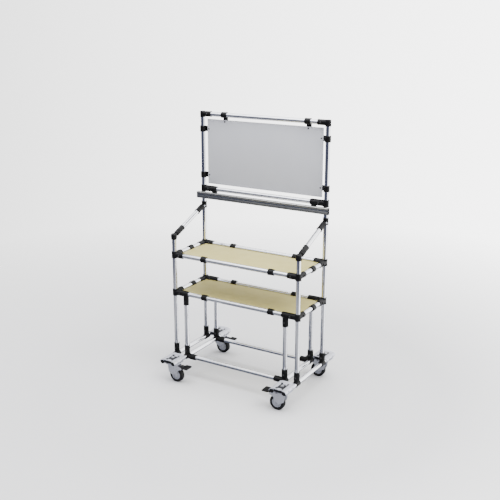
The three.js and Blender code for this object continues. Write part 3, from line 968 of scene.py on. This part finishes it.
@dataclass(frozen=True)
class Clip:
    """A black ring round a pipe, with a flat tab screwed to a board."""

    centre: Vector
    inward: Vector  # to the middle of the board
    below: Vector  # to the board's face that the tab lies on
    reach: float  # of the tab from the pipe's axis
    width: float = 38 * MM
    radius: float = 19.5 * MM
    lip: float = 0.4 * MM
    seat: float = 13.5 * MM  # from the pipe's axis to the board's face
    tab: float = 3 * MM
    rib: float = 2.4 * MM  # height of the rib over the ring
    rib_half: float = 2.2 * MM
    screw_inset: float = 9 * MM  # from the tab's end

    def place(self, mesh: Mesh) -> Mesh:
        """Takes a mesh made with the tab along X and its face down Z to the clip's place."""
        axes = Matrix((self.inward, (-self.below).cross(self.inward), -self.below)).transposed().to_4x4()
        mesh.transform(Matrix.Translation(self.centre) @ axes)
        return mesh

    def shell(self) -> Mesh:
        """The ring, its rib and the tab."""
        half, low, rib = self.width / 2, -self.seat - self.tab, self.rib_half
        ring = Sleeve(-REAR * half, REAR * half, UP, True, radius=self.radius, lip=self.lip)
        over = block((-rib, -half + 3 * MM, 0), (rib, half - 3 * MM, self.radius + self.rib), 0.5 * MM)
        tab = block((0, -half + MM, low), (self.reach, half - MM, low + self.tab), MM)
        return self.place(combined([ring.outside(), over, tab], [ring.bore()]))

    def screw_place(self) -> Vector:
        """Where the tab's screw passes through its outer face."""
        along = self.inward * (self.reach - self.screw_inset)
        return self.centre + along + self.below * (self.seat + self.tab)

    def screw(self, past: float) -> Mesh:
        """A round-headed screw through the tab, with its point on the board's far face or past it."""
        head = [(0, -2.4 * MM), (2.4 * MM, -2.2 * MM), (4 * MM, -1.2 * MM), (4.6 * MM, 0), (2 * MM, 0)]
        head += [(2 * MM, past), (0, past)]
        at = self.screw_place()
        return aimed(spun(head, 20), at, at - self.below)

    def screw_cap(self, thickness: float) -> Mesh:
        """The cap over the screw's point, on the far side of a board of this thickness."""
        profile = [(0, 0), (5 * MM, 0), (4.6 * MM, 1.6 * MM), (2.6 * MM, 2.6 * MM), (0, 2.8 * MM)]
        at = self.screw_place() - self.below * (self.tab + thickness)
        return aimed(spun(profile, 24), at, at - self.below)


@dataclass
class Boards:
    """The two shelf boards and the panel, each with its clips and screws."""

    places: Places
    clip_reach: float = 44 * MM
    panel_clip_reach: float = 54 * MM
    shelf_edge: float = 20.5 * MM  # from a shelf pipe's axis to the board's edge
    shelf_thickness: float = 12 * MM
    shelf_screw: float = 10 * MM
    panel_margin: float = 34 * MM  # from a panel pipe's axis to the panel's edge
    panel_thickness: float = 10 * MM
    panel_screw_past: float = 1.6 * MM  # past the panel's face, in a cap

    def fasten(self, name: str, clips: Sequence[Clip], screw: float) -> None:
        """Makes the clips of a board, with their screws."""
        for number, clip in enumerate(clips, 1):
            piece(f"{name}_clip_{number}", clip.shell(), JOINT_BLACK)
        piece(f"{name}_screws", gathered(clip.screw(screw) for clip in clips), BOLT_STEEL)

    def shelf(self, level: str, height: float, front: Point, rear: Point, side: float) -> None:
        """One shelf.

        Args:
            level: the shelf's name.
            height: of its pipes' axes.
            front: clips on the front pipe, from the left and from the right post.
            rear: the same on the rear pipe.
            side: the clips' place on the side pipes, from their middle.
        """
        post, reach = self.places.post, self.clip_reach
        half_x, half_y = post.x - self.shelf_edge, post.y - self.shelf_edge
        bottom = height - Clip.seat
        top = bottom + self.shelf_thickness
        board = block((-half_x, -half_y, bottom), (half_x, half_y, top), 0.9 * MM, 3)
        piece(f"{level}_board_sheet", board, BOARD_BEIGE, f"{level}_board")
        clips = []
        for (from_left, from_right), y in ((front, -1), (rear, 1)):
            for x in (from_left - post.x, post.x - from_right):
                clips.append(Clip(Vector((x, y * post.y, height)), -REAR * y, -UP, reach))
        for _, x in SIDES:
            clips.append(Clip(Vector((x * post.x, side, height)), -RIGHT * x, -UP, reach))
        self.fasten(level, clips, self.shelf_screw)

    def panel(self, top: Point, side: Point) -> None:
        """The panel.

        Args:
            top: clips on the top pipe, from the left and from the right post.
            side: clips on the posts, above the lower pipe and below the top pipe.
        """
        places, margin, reach = self.places, self.panel_margin, self.panel_clip_reach
        post, lower, upper = places.post, places.panel_lower, places.panel_top
        back = post.y + Clip.seat
        low = (-post.x + margin, back - self.panel_thickness, lower + margin)
        board = block(low, (post.x - margin, back, upper - margin), 1.2 * MM, 3)
        piece("panel_board_sheet", board, PANEL_GREY, "panel_board")
        clips = []
        for x in (top[0] - post.x, post.x - top[1]):
            clips.append(Clip(Vector((x, post.y, upper)), -UP, REAR, reach))
        for _, x in SIDES:
            for z in (lower + side[0], upper - side[1]):
                clips.append(Clip(Vector((x * post.x, post.y, z)), -RIGHT * x, REAR, reach))
        self.fasten("panel", clips, Clip.tab + self.panel_thickness + self.panel_screw_past)
        caps = gathered(clip.screw_cap(self.panel_thickness) for clip in clips)
        piece("panel_screw_caps", caps, JOINT_BLACK)

    def build(self) -> None:
        """Makes every board."""
        places = self.places
        self.shelf("upper_shelf", places.upper_shelf, (0.234, 0.188), (0.234, 0.210), 5 * MM)
        self.shelf("lower_shelf", places.lower_shelf, (0.236, 0.188), (0.239, 0.212), 21 * MM)
        self.panel((0.171, 0.137), (93 * MM, 99 * MM))


@dataclass
class ToolRail:
    """The extruded rail across the rear posts, with a dark strip in its groove and closed ends."""

    end_plate: float = 1.6 * MM
    strip_gap: float = 0.3 * MM
    lip: float = 1.6 * MM  # the groove's lips over the strip
    lower_edge: float = 2 * MM
    upper_edge: float = 2.5 * MM

    def __post_init__(self) -> None:
        """Reads the boxes of the rail and its strip."""
        self.low, self.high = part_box("tool_rail")
        self.strip_low, self.strip_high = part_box("tool_rail_strip")

    def section(self) -> Outline:
        """The rail's outline in Y and Z."""
        front, back, bottom, top = self.low.y, self.high.y, self.low.z, self.high.z
        gap, lip, edge = self.strip_gap, self.lip, self.upper_edge
        low, high = self.strip_low.z - gap, self.strip_high.z + gap
        floor = self.strip_high.y + gap
        return [
            (front, bottom + self.lower_edge), (front + self.lower_edge, bottom), (back, bottom),
            (back, top), (front + edge, top), (front, top - edge),
            (front, high - lip), (front + lip, high - lip), (front + lip, high), (floor, high), (floor, low),
            (front + lip, low), (front + lip, low + lip), (front, low + lip),
        ]

    def along(self, outline: Outline, low: float, high: float, bevel: float) -> Mesh:
        """Thickens an outline in Y and Z along X."""
        mesh = slab(outline, -high, -low, bevel)
        mesh.transform(Matrix.Rotation(math.pi / 2, 4, "Z"))
        return mesh

    def build(self) -> None:
        """Makes the rail, its strip and its ends."""
        low, high, strip_low, strip_high = self.low, self.high, self.strip_low, self.strip_high
        first, last = low.x + self.end_plate, high.x - self.end_plate
        rail = self.along(self.section(), first, last, 0.35 * MM)
        piece("tool_rail_section", rail, RAIL_METAL, "tool_rail")
        strip = block((first, *strip_low.yz), (last, *strip_high.yz), 0.3 * MM)
        piece("tool_rail_insert", strip, STRIP_SLATE, "tool_rail_strip")
        face = [(low.y, low.z), (high.y, low.z), (high.y, high.z), (low.y, high.z)]
        for side, start, end in (("left", low.x, first), ("right", last, high.x)):
            piece(f"tool_rail_end_{side}", self.along(face, start, end, 0.4 * MM), PEDAL_PLASTIC)


# ---------- Casters ----------


@dataclass
class Caster:
    """A braked swivel caster, built with its swivel axis up Z and its wheel trailing toward +X."""

    places: Places
    name: str
    sign: int  # 1 for a wheel that trails toward +X, -1 for one that trails toward -X

    half_span: float = 43 * MM  # from the swivel axis to each base pipe
    saddle_half: float = 64.5 * MM
    saddle_wall: float = 2.7 * MM
    dish: float = 5 * MM
    dish_reach: Pair = (28 * MM, 48 * MM)  # across and along
    dish_slope: Pair = (5 * MM, 6 * MM)
    end_lip: float = 4 * MM  # how far the saddle's ends turn up
    window: Pair = (25 * MM, 27 * MM)  # half of the opening in the saddle
    notch: Pair = (22 * MM, 30 * MM)  # along the saddle's skirts
    notch_top: float = 9 * MM
    plate_half: float = 42 * MM
    plate_top: float = 133 * MM
    plate_thickness: float = 3 * MM
    bolt_x: float = 22 * MM
    bolt_y: float = 36 * MM
    race_radius: float = 29 * MM
    race_height: float = 5.5 * MM
    crown: float = 3.5 * MM
    crown_front: float = 30 * MM
    cheek_inner: float = 18.5 * MM
    wall: float = 3 * MM
    trail: float = 32 * MM
    wheel: float = 50 * MM
    tread: float = 32 * MM
    tyre: float = 18 * MM
    shoulder: float = 5 * MM
    groove: Pair = (4 * MM, 2.6 * MM)  # from the tread's middle
    groove_depth: float = 1.2 * MM
    hub: float = 17 * MM
    disc_bore: float = 4.3 * MM
    disc_dish: float = 5 * MM
    pockets: int = 6
    pocket_ring: float = 25 * MM
    pocket_radius: float = 3.4 * MM
    pedal_rise: float = 15 * MM
    pedal_start: float = 26 * MM
    pedal_length: float = 72 * MM
    pedal_width: float = 64 * MM
    pedal_ribs: int = 6
    rib_pitch: float = 7 * MM
    rib_width: float = 3.5 * MM
    shoe_half: float = 11 * MM

    def __post_init__(self) -> None:
        """Reads the axes of the caster's joints."""
        swivel = joint_place(f"swivel_{self.name}")
        brake = joint_place(f"brake_{self.name}")
        turn = 0 if self.sign > 0 else math.pi
        self.to_place = Matrix.Translation((swivel.x, swivel.y, 0)) @ Matrix.Rotation(turn, 4, "Z")
        self.pin_x = abs(brake.x - swivel.x)
        self.pin_z = brake.z
        self.base = self.places.base
        self.gap = 0.3 * MM
        self.cheek_outer = self.cheek_inner + self.wall
        self.plate_bottom = self.plate_top - self.plate_thickness
        self.race_top = self.plate_bottom - self.gap
        self.crown_top = self.race_top - self.race_height
        self.crown_bottom = self.crown_top - self.crown

    def put(self, name: str, mesh: Mesh, finish: Finish, body: str, node: str = "") -> None:
        """Places a piece and reports it."""
        mesh.transform(self.to_place)
        rides = "root" if body == "root" else f"{body}_{self.name}"
        piece(f"{name}_{self.name}", mesh, finish, node and f"{node}_{self.name}", rides)

    def crossbar(self, x: float, z: float, half: float, radius: float, chamfer: float, steps: int) -> Mesh:
        """A round bar along Y."""
        return rod((x, -half, z), (x, half, z), radius, chamfer, steps)

    def pair(self, outline: Outline, near: float, far: float, bevel: float) -> list[Mesh]:
        """Two mirrored slabs, each between two distances from the caster's middle."""
        return [slab(outline, *sorted((side * near, side * far)), bevel) for side in (-1, 1)]

    def pressing(self, across: float, along: float) -> float:
        """How far the saddle's sheet is pressed up or down from flat."""
        reach, slope = self.dish_reach, self.dish_slope
        edge = min((reach[0] - abs(across)) / slope[0], (reach[1] - abs(along)) / slope[1])
        lip = eased((abs(along) - 56 * MM) / (7 * MM)) * eased((40 * MM - abs(across)) / (8 * MM))
        return self.end_lip * lip - self.dish * eased(edge)

    def saddle(self) -> Mesh:
        """The pressed plate over the two base pipes, dished between them, with lips at its ends."""
        radius = PIPE.bore + self.saddle_wall
        half_flat = self.half_span
        half_width = half_flat + math.pi / 2 * radius
        mesh = bmesh.new()
        bmesh.ops.create_grid(mesh, x_segments=44, y_segments=52, size=1)
        for vert in mesh.verts:
            across, along = vert.co.x * half_width, vert.co.y * self.saddle_half
            over = abs(across) - half_flat
            if over <= 0:
                vert.co = (across, along, self.base + radius + self.pressing(across, along))
                continue
            turn = over / radius
            side = math.copysign(half_flat + radius * math.sin(turn), across)
            lift = max(0.0, 1 - over / (6 * MM)) * self.pressing(math.copysign(half_flat, across), along)
            vert.co = (side, along, self.base + radius * math.cos(turn) + lift)
        openings = []
        for face in mesh.faces:
            x, y, z = face.calc_center_median()
            in_notch = z < self.base + self.notch_top and self.notch[0] < abs(y) < self.notch[1]
            if in_notch or (abs(x) < self.window[0] and abs(y) < self.window[1]):
                openings.append(face)
        bmesh.ops.delete(mesh, geom=openings, context="FACES")
        bmesh.ops.recalc_face_normals(mesh, faces=mesh.faces)
        up = max(mesh.faces, key=lambda face: face.calc_center_median().z)
        if up.normal.z < 0:
            bmesh.ops.reverse_faces(mesh, faces=mesh.faces)
        bmesh.ops.solidify(mesh, geom=mesh.faces, thickness=self.saddle_wall)
        bmesh.ops.recalc_face_normals(mesh, faces=mesh.faces)
        return mesh

    def fixed_parts(self) -> None:
        """The saddle, the caster plate, its bolts, the kingpin and the painted shade in and under the
        saddle, which all stay with the frame.
        """
        self.put("caster_saddle", self.saddle(), ZINC, "root", "caster_mount")
        reach, half = self.half_span + PIPE.radius, self.plate_half
        plate = block((-reach, -half, self.plate_bottom), (reach, half, self.plate_top), 0.8 * MM)
        self.put("caster_plate", plate, ZINC, "root")
        seat = self.base + PIPE.bore + self.saddle_wall - self.dish
        top = seat + 1.5 * MM
        # Painted shade: a near-black plate just under the saddle's window stands in for the shade in the
        # pressed recess
        half_x, half_y = [size - 1.5 * MM for size in self.window]
        well = block((-half_x, -half_y, seat - 9 * MM), (half_x, half_y, top), 0.8 * MM)
        self.put("caster_painted_shade_plate", well, PAINTED_SHADE_BLACK, "root")
        # Painted shade: near-black strips across the saddle's front and rear ends, between the pipes and
        # under the saddle, stand in for the shade there
        inner, low, high = self.half_span - PIPE.radius - MM, self.base + MM, self.base + 12.5 * MM
        ends = [
            block((-inner, start, low), (inner, start + 5 * MM, high), 1.2 * MM, 3)
            for start in (-self.saddle_half + 2 * MM, self.saddle_half - 7 * MM)
        ]
        self.put("caster_painted_shade_strips", gathered(ends), PAINTED_SHADE_BLACK, "root")
        bolts = []
        for x in (-self.bolt_x, self.bolt_x):
            for y in (-self.bolt_y, self.bolt_y):
                head, nut = Vector((x, y, seat)), Vector((x, y, self.plate_bottom))
                bolts.append(Bolt(head, nut, 12 * MM, 5 * MM, 7.5 * MM, past=0.2 * MM, nut_share=0.6).mesh())
        self.put("caster_bolts", gathered(bolts), BOLT_BLACK, "root")
        under, wide, thin = self.crown_bottom - self.gap, 10 * MM, 6 * MM
        pin = spun([
            (0, under - 5 * MM), (7 * MM, under - 5 * MM), (wide, under - 3 * MM), (wide, under),
            (thin, under), (thin, top + 8 * MM), (5 * MM, top + 9 * MM), (0, top + 9 * MM),
        ], 32)
        nut = hexagon(UP * top, UP * top + UP * 8 * MM, 18 * MM)
        self.put("caster_kingpin", gathered([pin, nut]), BOLT_STEEL, "root")

    def cheek_outline(self) -> Outline:
        """One side of the fork: down from the crown, round the axle, and back up to the brake pin."""
        trail, axle, x, z = self.trail, self.wheel, self.pin_x, self.pin_z
        outline = [(-self.crown_front, self.crown_top), (-self.crown_front + 2 * MM, axle + 58 * MM)]
        outline += curve((-27 * MM, axle + 50 * MM), (-25 * MM, axle + 20 * MM), (-17 * MM, axle + 12 * MM))
        outline += arc((trail, axle), 13 * MM, 222, 345, 12)
        bend, end = (trail + 14 * MM, axle + 36 * MM), (x + 8 * MM, z - 12 * MM)
        outline += curve((trail + 14 * MM, axle + 14 * MM), bend, end)
        outline += arc((x + 13 * MM, z - 3 * MM), 8 * MM, -70, 60, 8)
        outline += [(x - 4 * MM, z + 10 * MM), (x - 10 * MM, self.crown_top)]
        return outline

    def turning_parts(self) -> None:
        """The fork with its ball race and axle, which swivel together."""
        outer, low, high = self.cheek_outer, self.crown_bottom, self.crown_top
        cheeks = self.pair(self.cheek_outline(), self.cheek_inner, outer, 0.7 * MM)
        crown = block((-self.crown_front, -outer, low), (self.pin_x - 12 * MM, outer, high), 1.4 * MM, 3)
        seat = rod((0, 0, high - MM), (0, 0, high + 1.4 * MM), 24 * MM, 0.8 * MM, 40)
        hole = rod((0, 0, low - MM), (0, 0, high + 4 * MM), 6.5 * MM, 0)
        pin_hole = self.crossbar(self.pin_x, self.pin_z, outer + MM, 3.4 * MM, 0, 24)
        fork = combined([crown, *cheeks, seat], [hole, pin_hole])
        self.put("caster_fork_shell", fork, ZINC, "fork", "caster_fork")
        low, radius, inner = high + 1.5 * MM, self.race_radius, 7 * MM
        race = spun([
            (inner, low), (radius - 5 * MM, low), (radius - 1.5 * MM, low + 0.6 * MM),
            (radius, low + 2 * MM), (radius - 1.2 * MM, low + 3.4 * MM), (radius - 4 * MM, self.race_top),
            (inner, self.race_top),
        ], 44, closed=True)
        self.put("caster_race", race, ZINC, "fork")
        axle = []
        for side in (-1, 1):
            face = Vector((self.trail, side * outer, self.wheel))
            out = REAR * side
            axle.append(rod(face, face + out * MM, 8 * MM, 0.3 * MM, 28))
            axle.append(hexagon(face + out * MM, face + out * 4.4 * MM, 12 * MM))
        axle.append(self.crossbar(self.trail, self.wheel, outer + 2 * MM, 4 * MM, 0.4 * MM, 32))
        self.put("caster_axle", gathered(axle), BOLT_STEEL, "fork")

    def on_axle(self, mesh: Mesh) -> Mesh:
        """Turns a mesh made about Z to lie on the wheel's axle."""
        lay = Matrix.Rotation(math.pi / 2, 4, "X")
        mesh.transform(Matrix.Translation((self.trail, 0, self.wheel)) @ lay)
        return mesh

    def rolling_parts(self) -> None:
        """The tyre and the disc, which roll together."""
        half, outside, rim, round_off = self.tread / 2, self.wheel, self.wheel - self.tyre, self.shoulder
        near = outside - round_off
        tyre = [(rim, -half + 1.5 * MM), (rim + 2 * MM, -half), (near, -half)]
        for turn in [math.radians(angle) for angle in (30, 60, 90)]:
            tyre.append((near + round_off * math.sin(turn), -half + round_off - round_off * math.cos(turn)))
        low, high, floor = -self.groove[0], -self.groove[1], outside - self.groove_depth
        tyre += [(outside, low), (floor, low + 0.3 * MM), (floor, high - 0.3 * MM), (outside, high)]
        mesh = self.on_axle(spun(mirrored(tyre), 72, closed=True))
        self.put("caster_tyre", mesh, TYRE_RUBBER, "wheel", "caster_wheel")
        hub, sunk, raised = self.hub, -half + self.disc_dish, -half + 1.2 * MM
        disc = [(self.disc_bore, -half), (hub - 2 * MM, -half), (hub, -half + 1.5 * MM)]
        disc += [(hub + 2 * MM, sunk), (rim - 5 * MM, sunk), (rim - 3 * MM, raised)]
        disc.append((rim - 0.4 * MM, raised))
        out = Matrix.Translation((self.pocket_ring, 0, 0)) @ Matrix.Diagonal((1, 1.5, 1, 1))
        holes = []
        for number in range(self.pockets):
            turn = Matrix.Rotation(math.radians(360 / self.pockets * number), 4, "Z")
            for low, high in ((-half - MM, sunk + 2 * MM), (-sunk - 2 * MM, half + MM)):
                hole = rod((0, 0, low), (0, 0, high), self.pocket_radius, 0, 20)
                hole.transform(turn @ out)
                holes.append(hole)
        mesh = self.on_axle(combined([spun(mirrored(disc), 64, closed=True)], holes))
        self.put("caster_disc", mesh, DISC_GREY, "wheel")

    def braking_parts(self) -> None:
        """The pedal with its ribbed pad, its pin and its shoe, which press down together."""
        x, z = self.pin_x, self.pin_z
        top, half = z + self.pedal_rise, self.pedal_width / 2
        start, end, inner = x + self.pedal_start, x + self.pedal_length, self.cheek_inner - MM
        pad = block((start, -half, top - 11 * MM), (end, half, top - 2 * MM), 3.4 * MM, 3)
        ribs = []
        for step in range(self.pedal_ribs):
            at = start + 5 * MM + step * self.rib_pitch
            low, high = (at, -half + 3 * MM, top - 4 * MM), (at + self.rib_width, half - 3 * MM, top)
            ribs.append(block(low, high, 0.7 * MM))
        skirt = [(x - 5 * MM, z + 4 * MM), (x + 6 * MM, top - 3 * MM), (end - 8 * MM, top - 2.5 * MM)]
        skirt += arc((end - 8 * MM, top - 9 * MM), 6.5 * MM, 80, -80, 8)
        bend = (start + 8 * MM, top - 10 * MM)
        skirt += curve((end - 16 * MM, top - 15 * MM), bend, (x + 18 * MM, z - 3 * MM), 6)
        skirt += arc((x + 7 * MM, z - 4 * MM), 7 * MM, -20, -110, 5)
        skirt += arc((x, z), 5.5 * MM, -120, -200, 4)
        sides = self.pair(skirt, inner, inner - 3 * MM, 0.8 * MM)
        bridge = slab([
            (x - 5 * MM, z + 4.4 * MM), (x + 7 * MM, top - 3 * MM), (start + 4 * MM, top - 2.4 * MM),
            (start + 4 * MM, top - 6 * MM), (x + 9 * MM, top - 7 * MM), (x - 2 * MM, z + MM),
        ], -inner, inner, 0.6 * MM)
        hole = self.crossbar(x, z, inner + MM, 3.1 * MM, 0, 24)
        pedal = combined([pad, *ribs, *sides, bridge], [hole])
        self.put("brake_pedal_pad", pedal, PEDAL_PLASTIC, "pedal", "brake_pedal")
        pin = self.crossbar(x, z, self.cheek_outer + MM, 3 * MM, 0.5 * MM, 24)
        self.put("brake_pin", pin, BOLT_STEEL, "pedal")
        shoe = slab([
            (x - 4 * MM, z - 2 * MM), (x + 3 * MM, z - 3 * MM), (x + 9 * MM, z - 6 * MM),
            (x + 12 * MM, z - 12 * MM), (x + 8 * MM, z - 14.5 * MM), (x + 4 * MM, z - 12.5 * MM),
            (x - 4 * MM, z - 5 * MM),
        ], -self.shoe_half, self.shoe_half, 0.8 * MM)
        self.put("brake_shoe", shoe, TYRE_RUBBER, "pedal")

    def build(self) -> None:
        """Makes every piece of the caster."""
        self.fixed_parts()
        self.turning_parts()
        self.rolling_parts()
        self.braking_parts()


# ---------- Studio ----------


@dataclass
class Studio:
    """The camera, a plain pale floor and soft light."""

    eye: Point = (2.568, -4.231, 2.354)
    azimuth: float = 31.130
    elevation: float = 16.339
    lens: float = 57.57
    floor_radius: float = 40.0
    fade: Pair = (1.3, 4.4)  # from the cart, where the floor melts into the backdrop
    gloss_near: Pair = (0.7, 1.3)  # the cart's gloss sees little of the floor close to it
    gloss_far: Pair = (1.3, 3.3)  # and none of it far away
    gloss_share: Pair = (0.06, 0.34)
    floor_colour: Colour = (0.80, 0.80, 0.81)
    speckle_colour: Colour = (0.6, 0.6, 0.62)
    speckle_share: float = 0.04
    white: Colour = (1.0, 1.0, 1.0)
    backdrop: Pair = (2.7, 5.6)  # its strength on the left and on the right
    glow: float = 1.8
    gloss_glow: float = 1.1  # how much brighter the cart's gloss sees it
    dark_low: Colour = (0.03, 0.033, 0.05)
    light_low: Colour = (1.9, 1.9, 1.9)
    dark_high: Colour = (0.72, 0.73, 0.78)
    light_high: Colour = (1.3, 1.3, 1.28)

    def camera(self) -> None:
        """Sets the camera up."""
        data = bpy.data.cameras.new("camera")
        data.lens = self.lens
        data.sensor_width = 36
        camera = placed("camera", data)
        camera.location = self.eye
        camera.rotation_euler = (math.radians(90 - self.elevation), 0, math.radians(self.azimuth))
        bpy.context.scene.camera = camera

    def floor(self) -> None:
        """A round floor that fades into the backdrop far from the cart."""
        mesh = bmesh.new()
        bmesh.ops.create_circle(mesh, cap_ends=True, segments=96, radius=self.floor_radius)
        floor = placed("floor", mesh_data("floor", mesh))
        material = bpy.data.materials.new("floor_paint")
        material.use_nodes = True
        graph = Graph(material.node_tree)
        place = graph.node("ShaderNodeTexCoord", output="Object")
        far = graph.node("ShaderNodeVectorMath", {"operation": "LENGTH"}, {0: place}, "Value")
        gloss_ray = graph.node("ShaderNodeLightPath", output="Is Glossy Ray")
        seen = graph.between(far, *self.gloss_near, *self.gloss_share)
        seen = seen * graph.between(far, *self.gloss_far, 1.0, 0.0)
        fade = graph.between(far, *self.fade, 0.0, 1.0) * (1 - gloss_ray)
        fade = fade + (1 - seen) * gloss_ray
        speckle = graph.between(graph.noise(3.0, 4.0), 0.3, 0.7, 0.0, self.speckle_share)
        colour = graph.mixed(speckle, rgba(self.floor_colour), rgba(self.speckle_colour))
        sockets = {"Base Color": colour, "Roughness": 0.9, "Specular IOR Level": 0.1}
        paint = graph.node("ShaderNodeBsdfPrincipled", {}, sockets)
        clear = graph.node("ShaderNodeBsdfTransparent")
        shader = graph.node("ShaderNodeMixShader", {}, {0: fade, 1: paint, 2: clear})
        graph.node("ShaderNodeOutputMaterial", {}, {"Surface": shader})
        floor.data.materials.append(material)

    def sky(self) -> None:
        """A pale backdrop, with a light side and a dark side that only the cart's gloss and light see."""
        world = bpy.data.worlds.new("studio")
        bpy.context.scene.world = world
        world.use_nodes = True
        graph = Graph(world.node_tree)
        way = graph.node("ShaderNodeTexCoord", output="Generated")
        side = math.radians(self.azimuth)
        toward, height = [
            graph.node("ShaderNodeVectorMath", {"operation": "DOT_PRODUCT"}, {0: way, 1: axis}, "Value")
            for axis in ((math.cos(side), math.sin(side), 0), (0, 0, 1))
        ]
        low_side = graph.between(toward, 0.55, 1.0, 0.0, 1.0) * graph.between(height, -0.6, -0.34, 0.1, 1.0)
        low = graph.mixed(low_side, rgba(self.dark_low), rgba(self.light_low))
        high_side = graph.between(toward, -0.7, 0.8, 0.0, 1.0)
        high = graph.mixed(high_side, rgba(self.dark_high), rgba(self.light_high))
        lit_colour = graph.mixed(graph.between(height, 0.1, 0.6, 0.0, 1.0), low, high)
        gloss_ray = graph.node("ShaderNodeLightPath", output="Is Glossy Ray")
        strength = gloss_ray * self.gloss_glow + self.glow
        lit = graph.node("ShaderNodeBackground", {}, {"Color": lit_colour, "Strength": strength})
        strength = graph.between(toward, -0.3, 0.3, *self.backdrop)
        seen = graph.node("ShaderNodeBackground", {}, {"Color": rgba(self.white), "Strength": strength})
        camera_ray = graph.node("ShaderNodeLightPath", output="Is Camera Ray")
        shader = graph.node("ShaderNodeMixShader", {}, {0: camera_ray, 1: lit, 2: seen})
        graph.node("ShaderNodeOutputWorld", {}, {"Surface": shader})

    def lamp(self, name: str, place: Point, target: Point, size: float, power: float) -> None:
        """Adds a square soft light that faces a target."""
        data = bpy.data.lights.new(name, "AREA")
        data.shape = "SQUARE"
        data.size = size
        data.energy = power
        lamp = placed(name, data)
        lamp.location = place
        lamp.rotation_euler = (Vector(target) - Vector(place)).to_track_quat("-Z", "Y").to_euler()

    def build(self) -> None:
        """Makes the studio."""
        self.camera()
        self.floor()
        self.sky()
        self.lamp("key", (2.4, -0.4, 4.3), (0, 0, 0.7), 3.0, 160)
        self.lamp("overhead", (-0.3, -0.4, 4.2), (0, 0, 0.8), 3.4, 150)


def main() -> None:
    """Builds the cart and its studio, and logs each piece's face count."""
    logging.basicConfig(level=logging.INFO, format="%(name)s: %(message)s")
    places = Places()
    Studio().build()
    Pipework(places).build()
    CornerJoints(places).build()
    for side, sign in SIDES:
        Brace(places, side, sign).build()
    Boards(places).build()
    ToolRail().build()
    for corner, x, _ in corners():
        Caster(places, corner, -x).build()


if __name__ == "__main__":
    main()
